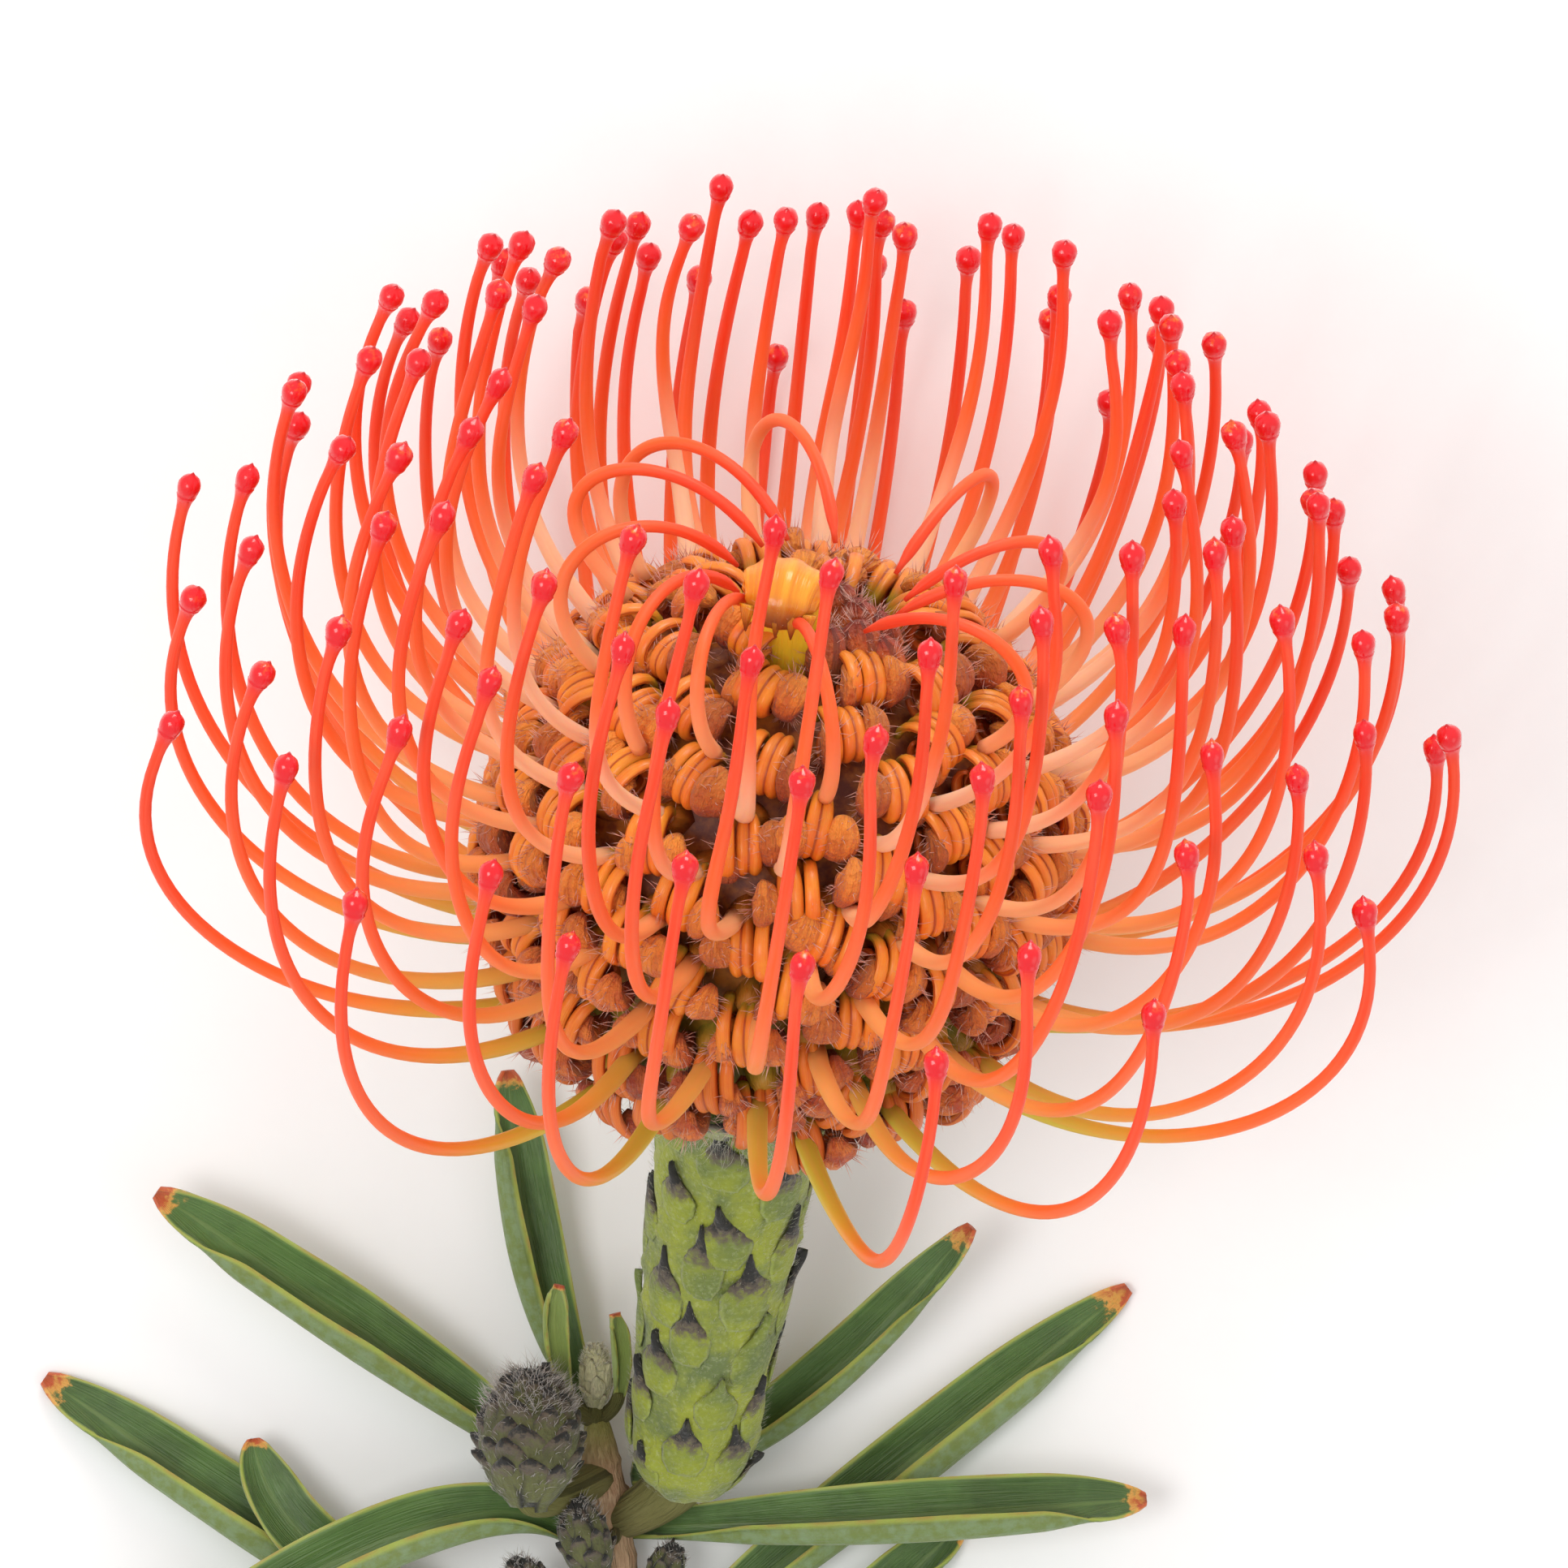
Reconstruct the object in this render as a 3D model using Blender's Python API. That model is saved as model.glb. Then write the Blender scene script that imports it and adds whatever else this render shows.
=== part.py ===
"""A cut pincushion protea flower, laid on a flat surface.

Metres, +Z up. The surface is z = 0 and the origin is under the middle of the whole flower.
The head leans up from the surface on its lowest styles, the stalk slopes down from it,
and the cut end of the stem and the lowest leaves rest on the surface.
Every style, leaf and bud is a solid of its own, 0.3 mm clear of its neighbours.
"""
import math
import random

import bmesh
import bpy
from mathutils import Vector

MM = 0.001
GAP = 0.3 * MM

# The head: its middle, how far its axis rises from the surface and how far it leans right
HEAD_CENTRE = Vector((2.477, 16.261, 37.471)) * MM
HEAD_RISE = math.radians(33.0)
HEAD_LEAN = math.radians(8.5)

# Florets stand in a golden-angle spiral on a dome; the innermost ones are still closed
FLORETS = 160
CLOSED_FLORETS = 36
LOOPED_FLORETS = 11
GOLDEN_TURN = math.pi * (3.0 - math.sqrt(5.0))
DOME_RADIUS = 24.0 * MM
DOME_OFFSET = 6.7 * MM
DOME_REACH = math.radians(124.0)
DOME_STRETCH = 1.25
DOME_DIMPLE = 1.3 * MM
NECK_RADIUS = 7.6 * MM
NECK_DEPTH = 15.5 * MM

# The pin-shaped styles: their tips lie on a larger ball round the head's middle
TIP_BALL = 57.6 * MM
TIP_SCATTER = 1.6 * MM
INNER_LATITUDE = math.radians(64.0)
LATITUDE_DROP = math.radians(30.0)
LATITUDE_BEND = math.radians(15.0)
TIP_LEAN = math.radians(14.0)
LEVEL_SLOPE = math.radians(95.0)
LEVEL_SHARE = 0.84
ROOT_HANDLE = 0.42
TIP_HANDLE = 0.43
STYLE_STEPS = (0.0, 0.16, 0.32, 0.48, 0.62, 0.76, 0.88, 0.96)
KNOB_RINGS = ((0.25, 0.85), (0.55, 1.0), (0.85, 0.62), (1.0, 0.2))
STYLE_SIDES = 5
STYLE_RADIUS = 0.62 * MM
STYLE_ROOT_RADIUS = 0.90 * MM
STYLE_NECK_RADIUS = 0.46 * MM
KNOB_RADIUS = 0.98 * MM
KNOB_LENGTH = 3.2 * MM
RING_STYLES = 21
INNER_STYLES = 13
CLOSED_STYLES = 4
CLOSED_RINGS = 12
FLOOR_SOFTNESS = 3.0 * MM

# A looped style after its root: distance from the head's axis, height along it (mm), added turn
LOOP_ROUTE = ((28.0, 33.0, 0.0), (16.0, 41.5, 0.2), (7.0, 32.0, 0.45))
LOOP_SWELL = 0.10

# The stalk below the head, from its neck down to its rounded foot
STALK_TOP = -16.6 * MM
STALK_FOOT = -58.5 * MM
STALK_SIDES = 15
STALK_RINGS = 15
SCALE_COLUMNS = 5
SCALE_BULGE = 0.35 * MM

# Points and radii along the woody stem, from its cut end to the young shoot, from the head's middle
STEM_ROUTE = (
    (-7.5, -88.0, -35.35, 2.15),
    (-10.0, -74.0, -35.4, 2.10),
    (-12.2, -62.0, -35.3, 2.05),
    (-13.6, -52.0, -34.8, 2.00),
    (-14.2, -46.0, -33.8, 1.60),
    (-14.6, -42.5, -32.8, 1.00),
)

# Leaves: name, root, middle, tip (mm from the head's middle), width, roll in degrees
LEAVES = (
    ("leaf_01", (-17.3, -47.1, -34.6), (-32.0, -36.5, -34.0), (-51.3, -23.6, -31.5), 7.0, 20.0),
    ("leaf_02", (-14.0, -69.5, -36.3), (-37.0, -55.0, -36.9), (-60.8, -39.2, -37.0), 7.2, 0.0),
    ("leaf_03", (-15.4, -62.9, -35.0), (-35.5, -55.2, -34.1), (-43.3, -44.2, -34.6), 6.2, -8.0),
    ("leaf_04", (-16.3, -52.2, -33.1), (-30.5, -51.8, -30.3), (-55.0, -66.0, -35.0), 7.0, 12.0),
    ("leaf_05", (-15.4, -41.2, -35.6), (-19.5, -30.0, -34.5), (-22.0, -13.4, -32.0), 6.0, -10.0),
    ("leaf_06", (-11.0, -47.2, -36.3), (1.0, -41.8, -35.6), (16.7, -26.4, -29.0), 5.6, 0.0),
    ("leaf_07", (-8.4, -62.0, -36.4), (6.0, -50.5, -36.7), (29.9, -31.7, -37.0), 7.0, 0.0),
    ("leaf_08", (-11.2, -51.6, -36.3), (9.0, -50.6, -31.5), (31.3, -49.2, -32.5), 6.6, 10.0),
    ("leaf_09", (-7.2, -73.5, -36.6), (3.5, -63.0, -36.9), (16.0, -51.4, -36.9), 6.4, 0.0),
    ("leaf_10", (-12.7, -79.0, -35.5), (-24.0, -76.5, -33.5), (-37.0, -83.0, -36.0), 6.4, 6.0),
    ("leaf_11", (-5.9, -81.0, -35.5), (9.0, -75.0, -34.0), (24.0, -71.0, -36.0), 6.4, -6.0),
    ("bud_leaf_1", (-16.9, -40.9, -31.4), (-17.9, -36.0, -29.0), (-17.7, -31.2, -27.5), 2.6, 30.0),
    ("bud_leaf_2", (-12.7, -40.9, -31.4), (-12.5, -37.5, -29.6), (-13.0, -33.6, -28.6), 2.0, -20.0),
)
LEAF_RINGS = 11
LEAF_THICKNESS = 0.9 * MM
LEAF_FOLD = 0.22
LEAF_LEAST_HALF = 0.35 * MM
SLOPE_STEP = 0.02

# Buds: name, root, tip (mm from the head's middle), radius
BUDS = (
    ("bud_large", (-20.2, -49.5, -26.2), (-20.0, -38.2, -25.2), 4.5),
    ("bud_middle", (-14.6, -56.0, -30.4), (-16.4, -49.0, -28.8), 2.3),
    ("bud_side", (-18.8, -59.5, -30.9), (-21.5, -54.0, -29.6), 2.2),
    ("bud_hidden", (-9.6, -57.0, -33.8), (-8.0, -52.9, -33.0), 1.7),
    ("bud_shoot", (-14.7, -41.7, -32.2), (-14.6, -36.2, -30.6), 1.5),
)
BUD_SIDES = 10
BUD_RINGS = 9

COLOURS = {
    "style": ((0.90, 0.13, 0.045, 1.0), 0.38),
    "florets": ((0.86, 0.30, 0.05, 1.0), 0.55),
    "stalk": ((0.42, 0.50, 0.16, 1.0), 0.75),
    "bark": ((0.33, 0.20, 0.11, 1.0), 0.80),
    "leaf": ((0.20, 0.30, 0.10, 1.0), 0.60),
    "bud": ((0.16, 0.15, 0.09, 1.0), 0.80),
    "shoot": ((0.66, 0.62, 0.40, 1.0), 0.80),
}


def clear_objects():
    for old in list(bpy.data.objects):
        bpy.data.objects.remove(old, do_unlink=True)


def make_material(name):
    colour, roughness = COLOURS[name]
    material = bpy.data.materials.new(name)
    material.use_nodes = True
    shader = material.node_tree.nodes["Principled BSDF"]
    shader.inputs["Base Color"].default_value = colour
    shader.inputs["Roughness"].default_value = roughness
    shader.inputs["Metallic"].default_value = 0.0
    return material


def head_frame():
    """The head's axis, the sideways direction and the direction that faces up and forwards."""
    axis = Vector((
        math.cos(HEAD_RISE) * math.sin(HEAD_LEAN),
        math.cos(HEAD_RISE) * math.cos(HEAD_LEAN),
        math.sin(HEAD_RISE),
    ))
    side = axis.cross(Vector((0.0, 0.0, 1.0))).normalized()
    front = side.cross(axis).normalized()
    return axis, side, front


AXIS, SIDE, FRONT = head_frame()


def outward(turn):
    """Unit vector away from the head's axis, at an angle round it."""
    return SIDE * math.cos(turn) + FRONT * math.sin(turn)


def head_point(radius, turn, height):
    return HEAD_CENTRE + outward(turn) * radius + AXIS * height


def floret_place(index):
    """Angle from the head's top and turn round its axis of one floret."""
    share = (index + 0.5) / FLORETS
    slope = math.acos(1.0 - share * (1.0 - math.cos(DOME_REACH)))
    return slope, index * GOLDEN_TURN


def dome_point(slope, turn, radius):
    """Point on the dome; below its widest part it is stretched towards the neck."""
    height = radius * math.cos(slope)
    if height < 0.0:
        height *= DOME_STRETCH
    return head_point(radius * math.sin(slope), turn, DOME_OFFSET + height)


def bezier(points, t):
    """Point on a Bezier curve of any degree."""
    while len(points) > 1:
        points = [a.lerp(b, t) for a, b in zip(points, points[1:])]
    return points[0]


def rest_on_floor(point, radius):
    """Bend a point smoothly up so that a round piece there stays on the surface."""
    room = FLOOR_SOFTNESS - radius
    if point.z < FLOOR_SOFTNESS:
        point = point.copy()
        point.z = radius + room * math.exp((point.z - FLOOR_SOFTNESS) / room)
    return point


def curve_frames(points):
    """Two cross directions at each point of a path, turning as little as possible."""
    frames = []
    across = None
    for k, point in enumerate(points):
        ahead = points[min(k + 1, len(points) - 1)]
        behind = points[max(k - 1, 0)]
        along = (ahead - behind).normalized()
        if across is None:
            across = along.orthogonal().normalized()
        across = (across - along * across.dot(along)).normalized()
        frames.append((across, along.cross(across)))
    return frames


def loft(name, rings, material, parent):
    """One closed solid through rings of points, with both ends filled."""
    shape = bmesh.new()
    rows = [[shape.verts.new(point) for point in ring] for ring in rings]
    sides = len(rings[0])
    for lower, upper in zip(rows, rows[1:]):
        for k in range(sides):
            shape.faces.new((lower[k], lower[(k + 1) % sides], upper[(k + 1) % sides], upper[k]))
    shape.faces.new(list(reversed(rows[0])))
    shape.faces.new(rows[-1])
    return finish_solid(name, shape, material, parent)


def finish_solid(name, shape, material, parent, crease=50.0):
    """Turn a bmesh into a named object with outward faces, smooth up to the crease angle."""
    bmesh.ops.recalc_face_normals(shape, faces=shape.faces)
    if shape.calc_volume(signed=True) < 0.0:
        bmesh.ops.reverse_faces(shape, faces=shape.faces)
    mesh = bpy.data.meshes.new(name)
    shape.to_mesh(mesh)
    shape.free()
    mesh.shade_smooth()
    mesh.set_sharp_from_angle(angle=math.radians(crease))
    mesh.materials.append(material)
    piece = bpy.data.objects.new(name, mesh)
    bpy.context.collection.objects.link(piece)
    piece.parent = parent
    return piece


def round_rings(path, radii, sides):
    """Circles of points square to a path."""
    rings = []
    for point, radius, (across, up) in zip(path, radii, curve_frames(path)):
        ring = []
        for k in range(sides):
            angle = 2.0 * math.pi * k / sides
            ring.append(point + (across * math.cos(angle) + up * math.sin(angle)) * radius)
        rings.append(ring)
    return rings


def open_style_curve(index, chance):
    """The four guide points of an open style: out from the dome, then up to its tip."""
    slope, turn = floret_place(index)
    first_slope = floret_place(CLOSED_FLORETS)[0]
    reach = (slope - first_slope) / (DOME_REACH - first_slope)
    turn += chance.uniform(-0.05, 0.05)
    latitude = INNER_LATITUDE - LATITUDE_DROP * reach - LATITUDE_BEND * reach * reach
    latitude += chance.uniform(-0.045, 0.045)
    ball = TIP_BALL + chance.uniform(-TIP_SCATTER, TIP_SCATTER)
    root = dome_point(slope, turn, DOME_RADIUS + GAP)
    tip = head_point(ball * math.cos(latitude), turn, ball * math.sin(latitude))
    start = slope - LEVEL_SHARE * max(0.0, slope - LEVEL_SLOPE)
    leave = outward(turn) * math.sin(start) + AXIS * math.cos(start)
    lean = TIP_LEAN + chance.uniform(-0.1, 0.1)
    arrive = AXIS * math.cos(lean) - outward(turn) * math.sin(lean)
    span = (tip - root).length
    return [root, root + leave * span * ROOT_HANDLE, tip - arrive * span * TIP_HANDLE, tip]


def closed_style_curve(number):
    """The guide points of a style still looped over, its end tucked into the head's middle."""
    index = CLOSED_FLORETS - LOOPED_FLORETS + number
    slope, turn = floret_place(index)
    swell = 1.0 + LOOP_SWELL * math.sin(index * 2.3)
    guides = [dome_point(slope, turn, DOME_RADIUS + GAP)]
    for radius, height, added in LOOP_ROUTE:
        guides.append(head_point(radius * swell * MM, turn + added, height * MM))
        swell = 1.0
    return guides


def make_open_style(name, index, chance, material, parent):
    guides = open_style_curve(index, chance)
    path = [bezier(guides, t) for t in STYLE_STEPS]
    radii = [STYLE_RADIUS] * len(path)
    radii[0] = STYLE_ROOT_RADIUS
    radii[-2:] = [STYLE_NECK_RADIUS, STYLE_NECK_RADIUS]
    tip = guides[-1]
    heading = (guides[-1] - guides[-2]).normalized()
    first_share = KNOB_RINGS[0][0]
    for share, width in KNOB_RINGS:
        path.append(tip + heading * KNOB_LENGTH * (share - first_share))
        radii.append(KNOB_RADIUS * width)
    path = [rest_on_floor(point, radius) for point, radius in zip(path, radii)]
    return loft(name, round_rings(path, radii, STYLE_SIDES), material, parent)


def make_closed_style(name, number, material, parent):
    guides = closed_style_curve(number)
    path = [bezier(guides, k / (CLOSED_RINGS - 1)) for k in range(CLOSED_RINGS)]
    radii = [STYLE_NECK_RADIUS] * CLOSED_RINGS
    return loft(name, round_rings(path, radii, STYLE_SIDES), material, parent)


def make_styles(material, parent):
    """The whole outer ring of styles and an even scatter of the ones inside it."""
    first_of_ring = FLORETS - RING_STYLES
    spread = (first_of_ring - CLOSED_FLORETS) / INNER_STYLES
    indices = list(range(first_of_ring, FLORETS))
    indices += [CLOSED_FLORETS + round(spread * (k + 0.5)) for k in range(INNER_STYLES)]
    for number, index in enumerate(indices, start=1):
        make_open_style(f"style_{number:02d}", index, random.Random(index), material, parent)
    for k in range(CLOSED_STYLES):
        number = round(k * LOOPED_FLORETS / CLOSED_STYLES)
        make_closed_style(f"closed_style_{k + 1}", number, material, parent)


def make_head(material, parent):
    """The dome of rolled-back floret petals: a raised point for each floret, a dimple between."""
    shape = bmesh.new()
    places = [floret_place(index) for index in range(FLORETS)]
    raised = {shape.verts.new(dome_point(slope, turn, DOME_RADIUS)) for slope, turn in places}
    for k in range(STALK_SIDES):
        turn = 2.0 * math.pi * k / STALK_SIDES
        shape.verts.new(head_point(NECK_RADIUS, turn, -NECK_DEPTH))
    bmesh.ops.convex_hull(shape, input=shape.verts)
    loose = [vert for vert in shape.verts if not vert.link_faces]
    bmesh.ops.delete(shape, geom=loose, context="VERTS")
    middle = HEAD_CENTRE + AXIS * DOME_OFFSET
    for face in list(shape.faces):
        outer = (face.calc_center_median() - middle).normalized()
        if all(vert in raised for vert in face.verts):
            poked = bmesh.ops.poke(shape, faces=[face])
            poked["verts"][0].co -= outer * DOME_DIMPLE
    return finish_solid("flower_head", shape, material, parent, crease=8.0)


def stalk_radius(share):
    """Half the stalk's thickness from its neck (0) to its rounded foot (1)."""
    body = (7.1 - 1.9 * share) * MM
    foot = max(0.0, (share - 0.86) / 0.14)
    return body * math.sqrt(max(0.12, 1.0 - 0.88 * foot * foot))


def make_stalk(material, parent):
    rings = []
    for row in range(STALK_RINGS):
        share = row / (STALK_RINGS - 1)
        height = STALK_TOP + (STALK_FOOT - STALK_TOP) * share
        ring = []
        for k in range(STALK_SIDES):
            turn = 2.0 * math.pi * (k + 0.5 * row) / STALK_SIDES
            ridge = math.cos(SCALE_COLUMNS * turn + 2.0 * math.pi * row / 3.0)
            ring.append(head_point(stalk_radius(share) + SCALE_BULGE * ridge, turn, height))
        rings.append(ring)
    return loft("flower_stalk", rings, material, parent)


def make_stem(material, parent):
    path = [HEAD_CENTRE + Vector(row[:3]) * MM for row in STEM_ROUTE]
    radii = [row[3] * MM for row in STEM_ROUTE]
    return loft("stem", round_rings(path, radii, 10), material, parent)


def leaf_width(share):
    """Width along a leaf as a share of its widest: narrow at the root, blunt at the tip."""
    swell = 0.42 + 0.58 * math.sin(math.pi * min(1.0, share / 1.24)) ** 1.1
    blunt = math.sqrt(max(0.0, 1.0 - max(0.0, (share - 0.80) / 0.205) ** 2))
    return swell * blunt


def make_leaf(name, root, middle, tip, width, roll, material, parent):
    """A thick strap folded along its middle, 6 points to each cross section."""
    guides = [HEAD_CENTRE + Vector(spot) * MM for spot in (root, middle, tip)]
    guides[1] = guides[1] * 2.0 - (guides[0] + guides[2]) * 0.5
    rings = []
    for row in range(LEAF_RINGS):
        share = row / (LEAF_RINGS - 1)
        point = bezier(guides, share)
        ahead = bezier(guides, min(1.0, share + SLOPE_STEP))
        behind = bezier(guides, max(0.0, share - SLOPE_STEP))
        along = (ahead - behind).normalized()
        across = along.cross(Vector((0.0, 0.0, 1.0))).normalized()
        up = across.cross(along)
        angle = math.radians(roll) * share
        level = across
        across = level * math.cos(angle) + up * math.sin(angle)
        up = up * math.cos(angle) - level * math.sin(angle)
        half = max(0.5 * width * MM * leaf_width(share), LEAF_LEAST_HALF)
        thick = LEAF_THICKNESS * (0.75 + 0.25 * leaf_width(share))
        fold = up * half * LEAF_FOLD * 2.0
        top = up * thick * 0.5
        ring = [point - across * half + fold + top, point - across * half + fold - top, point - top,
                point + across * half + fold - top, point + across * half + fold + top, point + top]
        rings.append([rest_point(spot) for spot in ring])
    return loft(name, rings, material, parent)


def rest_point(spot):
    """Keep a leaf's lowest edge on the surface."""
    lifted = spot.copy()
    lifted.z = max(lifted.z, 0.0)
    return lifted


def bud_profile(share):
    return math.sin(math.pi * (0.10 + 0.86 * share)) ** 0.75


def make_bud(name, root, tip, radius, material, parent):
    start = HEAD_CENTRE + Vector(root) * MM
    end = HEAD_CENTRE + Vector(tip) * MM
    path = [start.lerp(end, k / (BUD_RINGS - 1)) for k in range(BUD_RINGS)]
    radii = [radius * MM * bud_profile(k / (BUD_RINGS - 1)) for k in range(BUD_RINGS)]
    rings = round_rings(path, radii, BUD_SIDES)
    for row, ring in enumerate(rings):
        for k, spot in enumerate(ring):
            if 0 < row < BUD_RINGS - 1 and (row + k) % 2:
                ring[k] = spot.lerp(path[row], 0.10)
    return loft(name, rings, material, parent)


def main():
    clear_objects()
    materials = {name: make_material(name) for name in COLOURS}
    flower = bpy.data.objects.new("protea", None)
    bpy.context.collection.objects.link(flower)
    make_head(materials["florets"], flower)
    make_stalk(materials["stalk"], flower)
    make_stem(materials["bark"], flower)
    make_styles(materials["style"], flower)
    for name, root, middle, tip, width, roll in LEAVES:
        make_leaf(name, root, middle, tip, width, roll, materials["leaf"], flower)
    for name, root, tip, radius in BUDS:
        finish = materials["shoot"] if name == "bud_shoot" else materials["bud"]
        make_bud(name, root, tip, radius, finish, flower)


main()
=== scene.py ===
"""Pincushion protea: the finished look of a cut flower that lies on a pale surface.

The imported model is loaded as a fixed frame. Each operator below makes one piece, or one group
of like pieces, round the same driving dimensions as the solids, and stands in for them.
"""
import bisect
import math
import random

import bmesh
import bpy
from bpy.props import FloatProperty, FloatVectorProperty, IntProperty, PointerProperty
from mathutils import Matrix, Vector


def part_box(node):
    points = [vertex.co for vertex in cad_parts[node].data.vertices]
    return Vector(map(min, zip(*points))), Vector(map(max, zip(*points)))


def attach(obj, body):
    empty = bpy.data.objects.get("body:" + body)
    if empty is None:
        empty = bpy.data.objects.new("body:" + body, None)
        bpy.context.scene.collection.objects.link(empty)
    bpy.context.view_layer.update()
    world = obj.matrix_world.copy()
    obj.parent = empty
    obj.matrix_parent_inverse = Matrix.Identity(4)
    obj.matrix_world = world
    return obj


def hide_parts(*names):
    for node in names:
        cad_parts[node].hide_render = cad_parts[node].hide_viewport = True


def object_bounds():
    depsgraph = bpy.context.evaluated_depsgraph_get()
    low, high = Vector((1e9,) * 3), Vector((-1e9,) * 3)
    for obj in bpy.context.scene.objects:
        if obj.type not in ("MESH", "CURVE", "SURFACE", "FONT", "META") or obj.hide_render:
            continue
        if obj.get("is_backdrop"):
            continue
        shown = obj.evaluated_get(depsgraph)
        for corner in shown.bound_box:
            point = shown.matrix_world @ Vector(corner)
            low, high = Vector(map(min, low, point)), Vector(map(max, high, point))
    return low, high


bl_info = {
    "name": "Pincushion protea",
    "version": (1, 0, 0),
    "blender": (4, 5, 0),
    "location": "3D View > Sidebar > Protea",
    "description": "Builds a cut pincushion protea flower round its packed solids",
    "category": "Object",
}

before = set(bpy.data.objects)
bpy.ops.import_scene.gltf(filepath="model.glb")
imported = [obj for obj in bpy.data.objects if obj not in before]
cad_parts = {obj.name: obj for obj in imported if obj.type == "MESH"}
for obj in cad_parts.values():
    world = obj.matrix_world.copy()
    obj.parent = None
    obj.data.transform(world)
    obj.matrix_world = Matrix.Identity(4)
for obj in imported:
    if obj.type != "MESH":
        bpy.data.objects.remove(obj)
CAD_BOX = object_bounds()

MM = 0.001
UP = Vector((0.0, 0.0, 1.0))

# The head: its middle, the rise of its axis above the surface and its lean to the right
HEAD_CENTRE = Vector((2.477, 16.261, 37.471)) * MM
HEAD_RISE = math.radians(33.0)
HEAD_LEAN = math.radians(8.5)

# The spiral of florets and the ball that the tips of the styles lie on
GOLDEN_TURN = math.pi * (3.0 - math.sqrt(5.0))
CLOSED_FLORETS = 36
LOOPED_FLORETS = 11
RING_STYLES = 21
INNER_STYLES = 13
DOME_OFFSET = 6.7 * MM
DOME_REACH = math.radians(124.0)
DOME_STRETCH = 1.25
SOLID_GAP = 0.3 * MM
TIP_SCATTER = 1.6 * MM
INNER_LATITUDE = math.radians(64.0)
LATITUDE_DROP = math.radians(30.0)
LATITUDE_BEND = math.radians(15.0)
TIP_LEAN = math.radians(14.0)
LEVEL_SLOPE = math.radians(95.0)
LEVEL_SHARE = 0.84
ROOT_HANDLE = 0.42
TIP_HANDLE = 0.43
LOOP_ROUTE = ((28.0, 33.0, 0.0), (16.0, 41.5, 0.2), (7.0, 32.0, 0.45))
LOOP_SWELL = 0.10
FLOOR_SOFTNESS = 3.0 * MM

# The floor under the florets, and how the florets and styles are shared out into pieces
FLOOR_DEPTH = 3.6 * MM
FLORET_BANDS = 6
UNOPENED_FLORETS = 1
STYLE_GROUPS = 9

# Scales, bracts and hairs: how many there are of each
STALK_SCALES = 46
STALK_BUMPS = 46
STALK_HAIRS = 3600
COLLAR_BRACTS = 34
COLLAR_HAIRS = 1900
END_HAIRS = 60
NEIGHBOUR_HAIRS = 110
YOUNG_HAIRS = 150
STEM_SCARS = 16

# Rings and sides of a style's shaft, steps its route is measured in, and where its tip starts
SHAFT_RINGS = 34
SHAFT_SIDES = 14
ROUTE_STEPS = 120
KNOB_START = 0.88

# The stalk, from its neck to its rounded foot, along the head's axis
STALK_TOP = -14.0 * MM
STALK_FOOT = -58.5 * MM

# Points and radii along the woody stem, from its cut end to the young shoot
STEM_ROUTE = (
    (-7.5, -88.0, -35.35, 2.15),
    (-10.0, -74.0, -35.4, 2.10),
    (-12.2, -62.0, -35.3, 2.05),
    (-13.6, -52.0, -34.8, 2.00),
    (-14.2, -46.0, -33.8, 1.60),
    (-14.6, -42.5, -32.8, 1.00),
)

# Leaves: name, root, middle, tip (mm from the head's middle), width, roll in degrees
LEAVES = (
    ("leaf_01", (-17.3, -47.1, -34.6), (-32.0, -36.5, -34.0), (-51.3, -23.6, -31.5), 7.0, 20.0),
    ("leaf_02", (-14.0, -69.5, -36.3), (-37.0, -55.0, -36.9), (-60.8, -39.2, -37.0), 7.2, 0.0),
    ("leaf_03", (-15.4, -62.9, -35.0), (-35.5, -55.2, -34.1), (-43.3, -44.2, -34.6), 6.2, -8.0),
    ("leaf_04", (-16.3, -52.2, -33.1), (-30.5, -51.8, -30.3), (-55.0, -66.0, -35.0), 7.0, 12.0),
    ("leaf_05", (-15.4, -41.2, -35.6), (-19.5, -30.0, -34.5), (-22.0, -13.4, -32.0), 6.0, -10.0),
    ("leaf_06", (-11.0, -47.2, -36.3), (1.0, -41.8, -35.6), (16.7, -26.4, -29.0), 5.6, 0.0),
    ("leaf_07", (-8.4, -62.0, -36.4), (6.0, -50.5, -36.7), (29.9, -31.7, -37.0), 7.0, 0.0),
    ("leaf_08", (-11.2, -51.6, -36.3), (9.0, -50.6, -31.5), (31.3, -49.2, -32.5), 6.6, 10.0),
    ("leaf_09", (-7.2, -73.5, -36.6), (3.5, -63.0, -36.9), (16.0, -51.4, -36.9), 6.4, 0.0),
    ("leaf_10", (-12.7, -79.0, -35.5), (-24.0, -76.5, -33.5), (-37.0, -83.0, -36.0), 6.4, 6.0),
    ("leaf_11", (-5.9, -81.0, -35.5), (9.0, -75.0, -34.0), (24.0, -71.0, -36.0), 6.4, -6.0),
)
YOUNG_LEAVES = (
    ("bud_leaf_1", (-16.9, -40.9, -31.4), (-17.9, -36.0, -29.0), (-17.7, -31.2, -27.5), 2.6, 30.0),
    ("bud_leaf_2", (-12.7, -40.9, -31.4), (-12.5, -37.5, -29.6), (-13.0, -33.6, -28.6), 2.0, -20.0),
)

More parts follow.
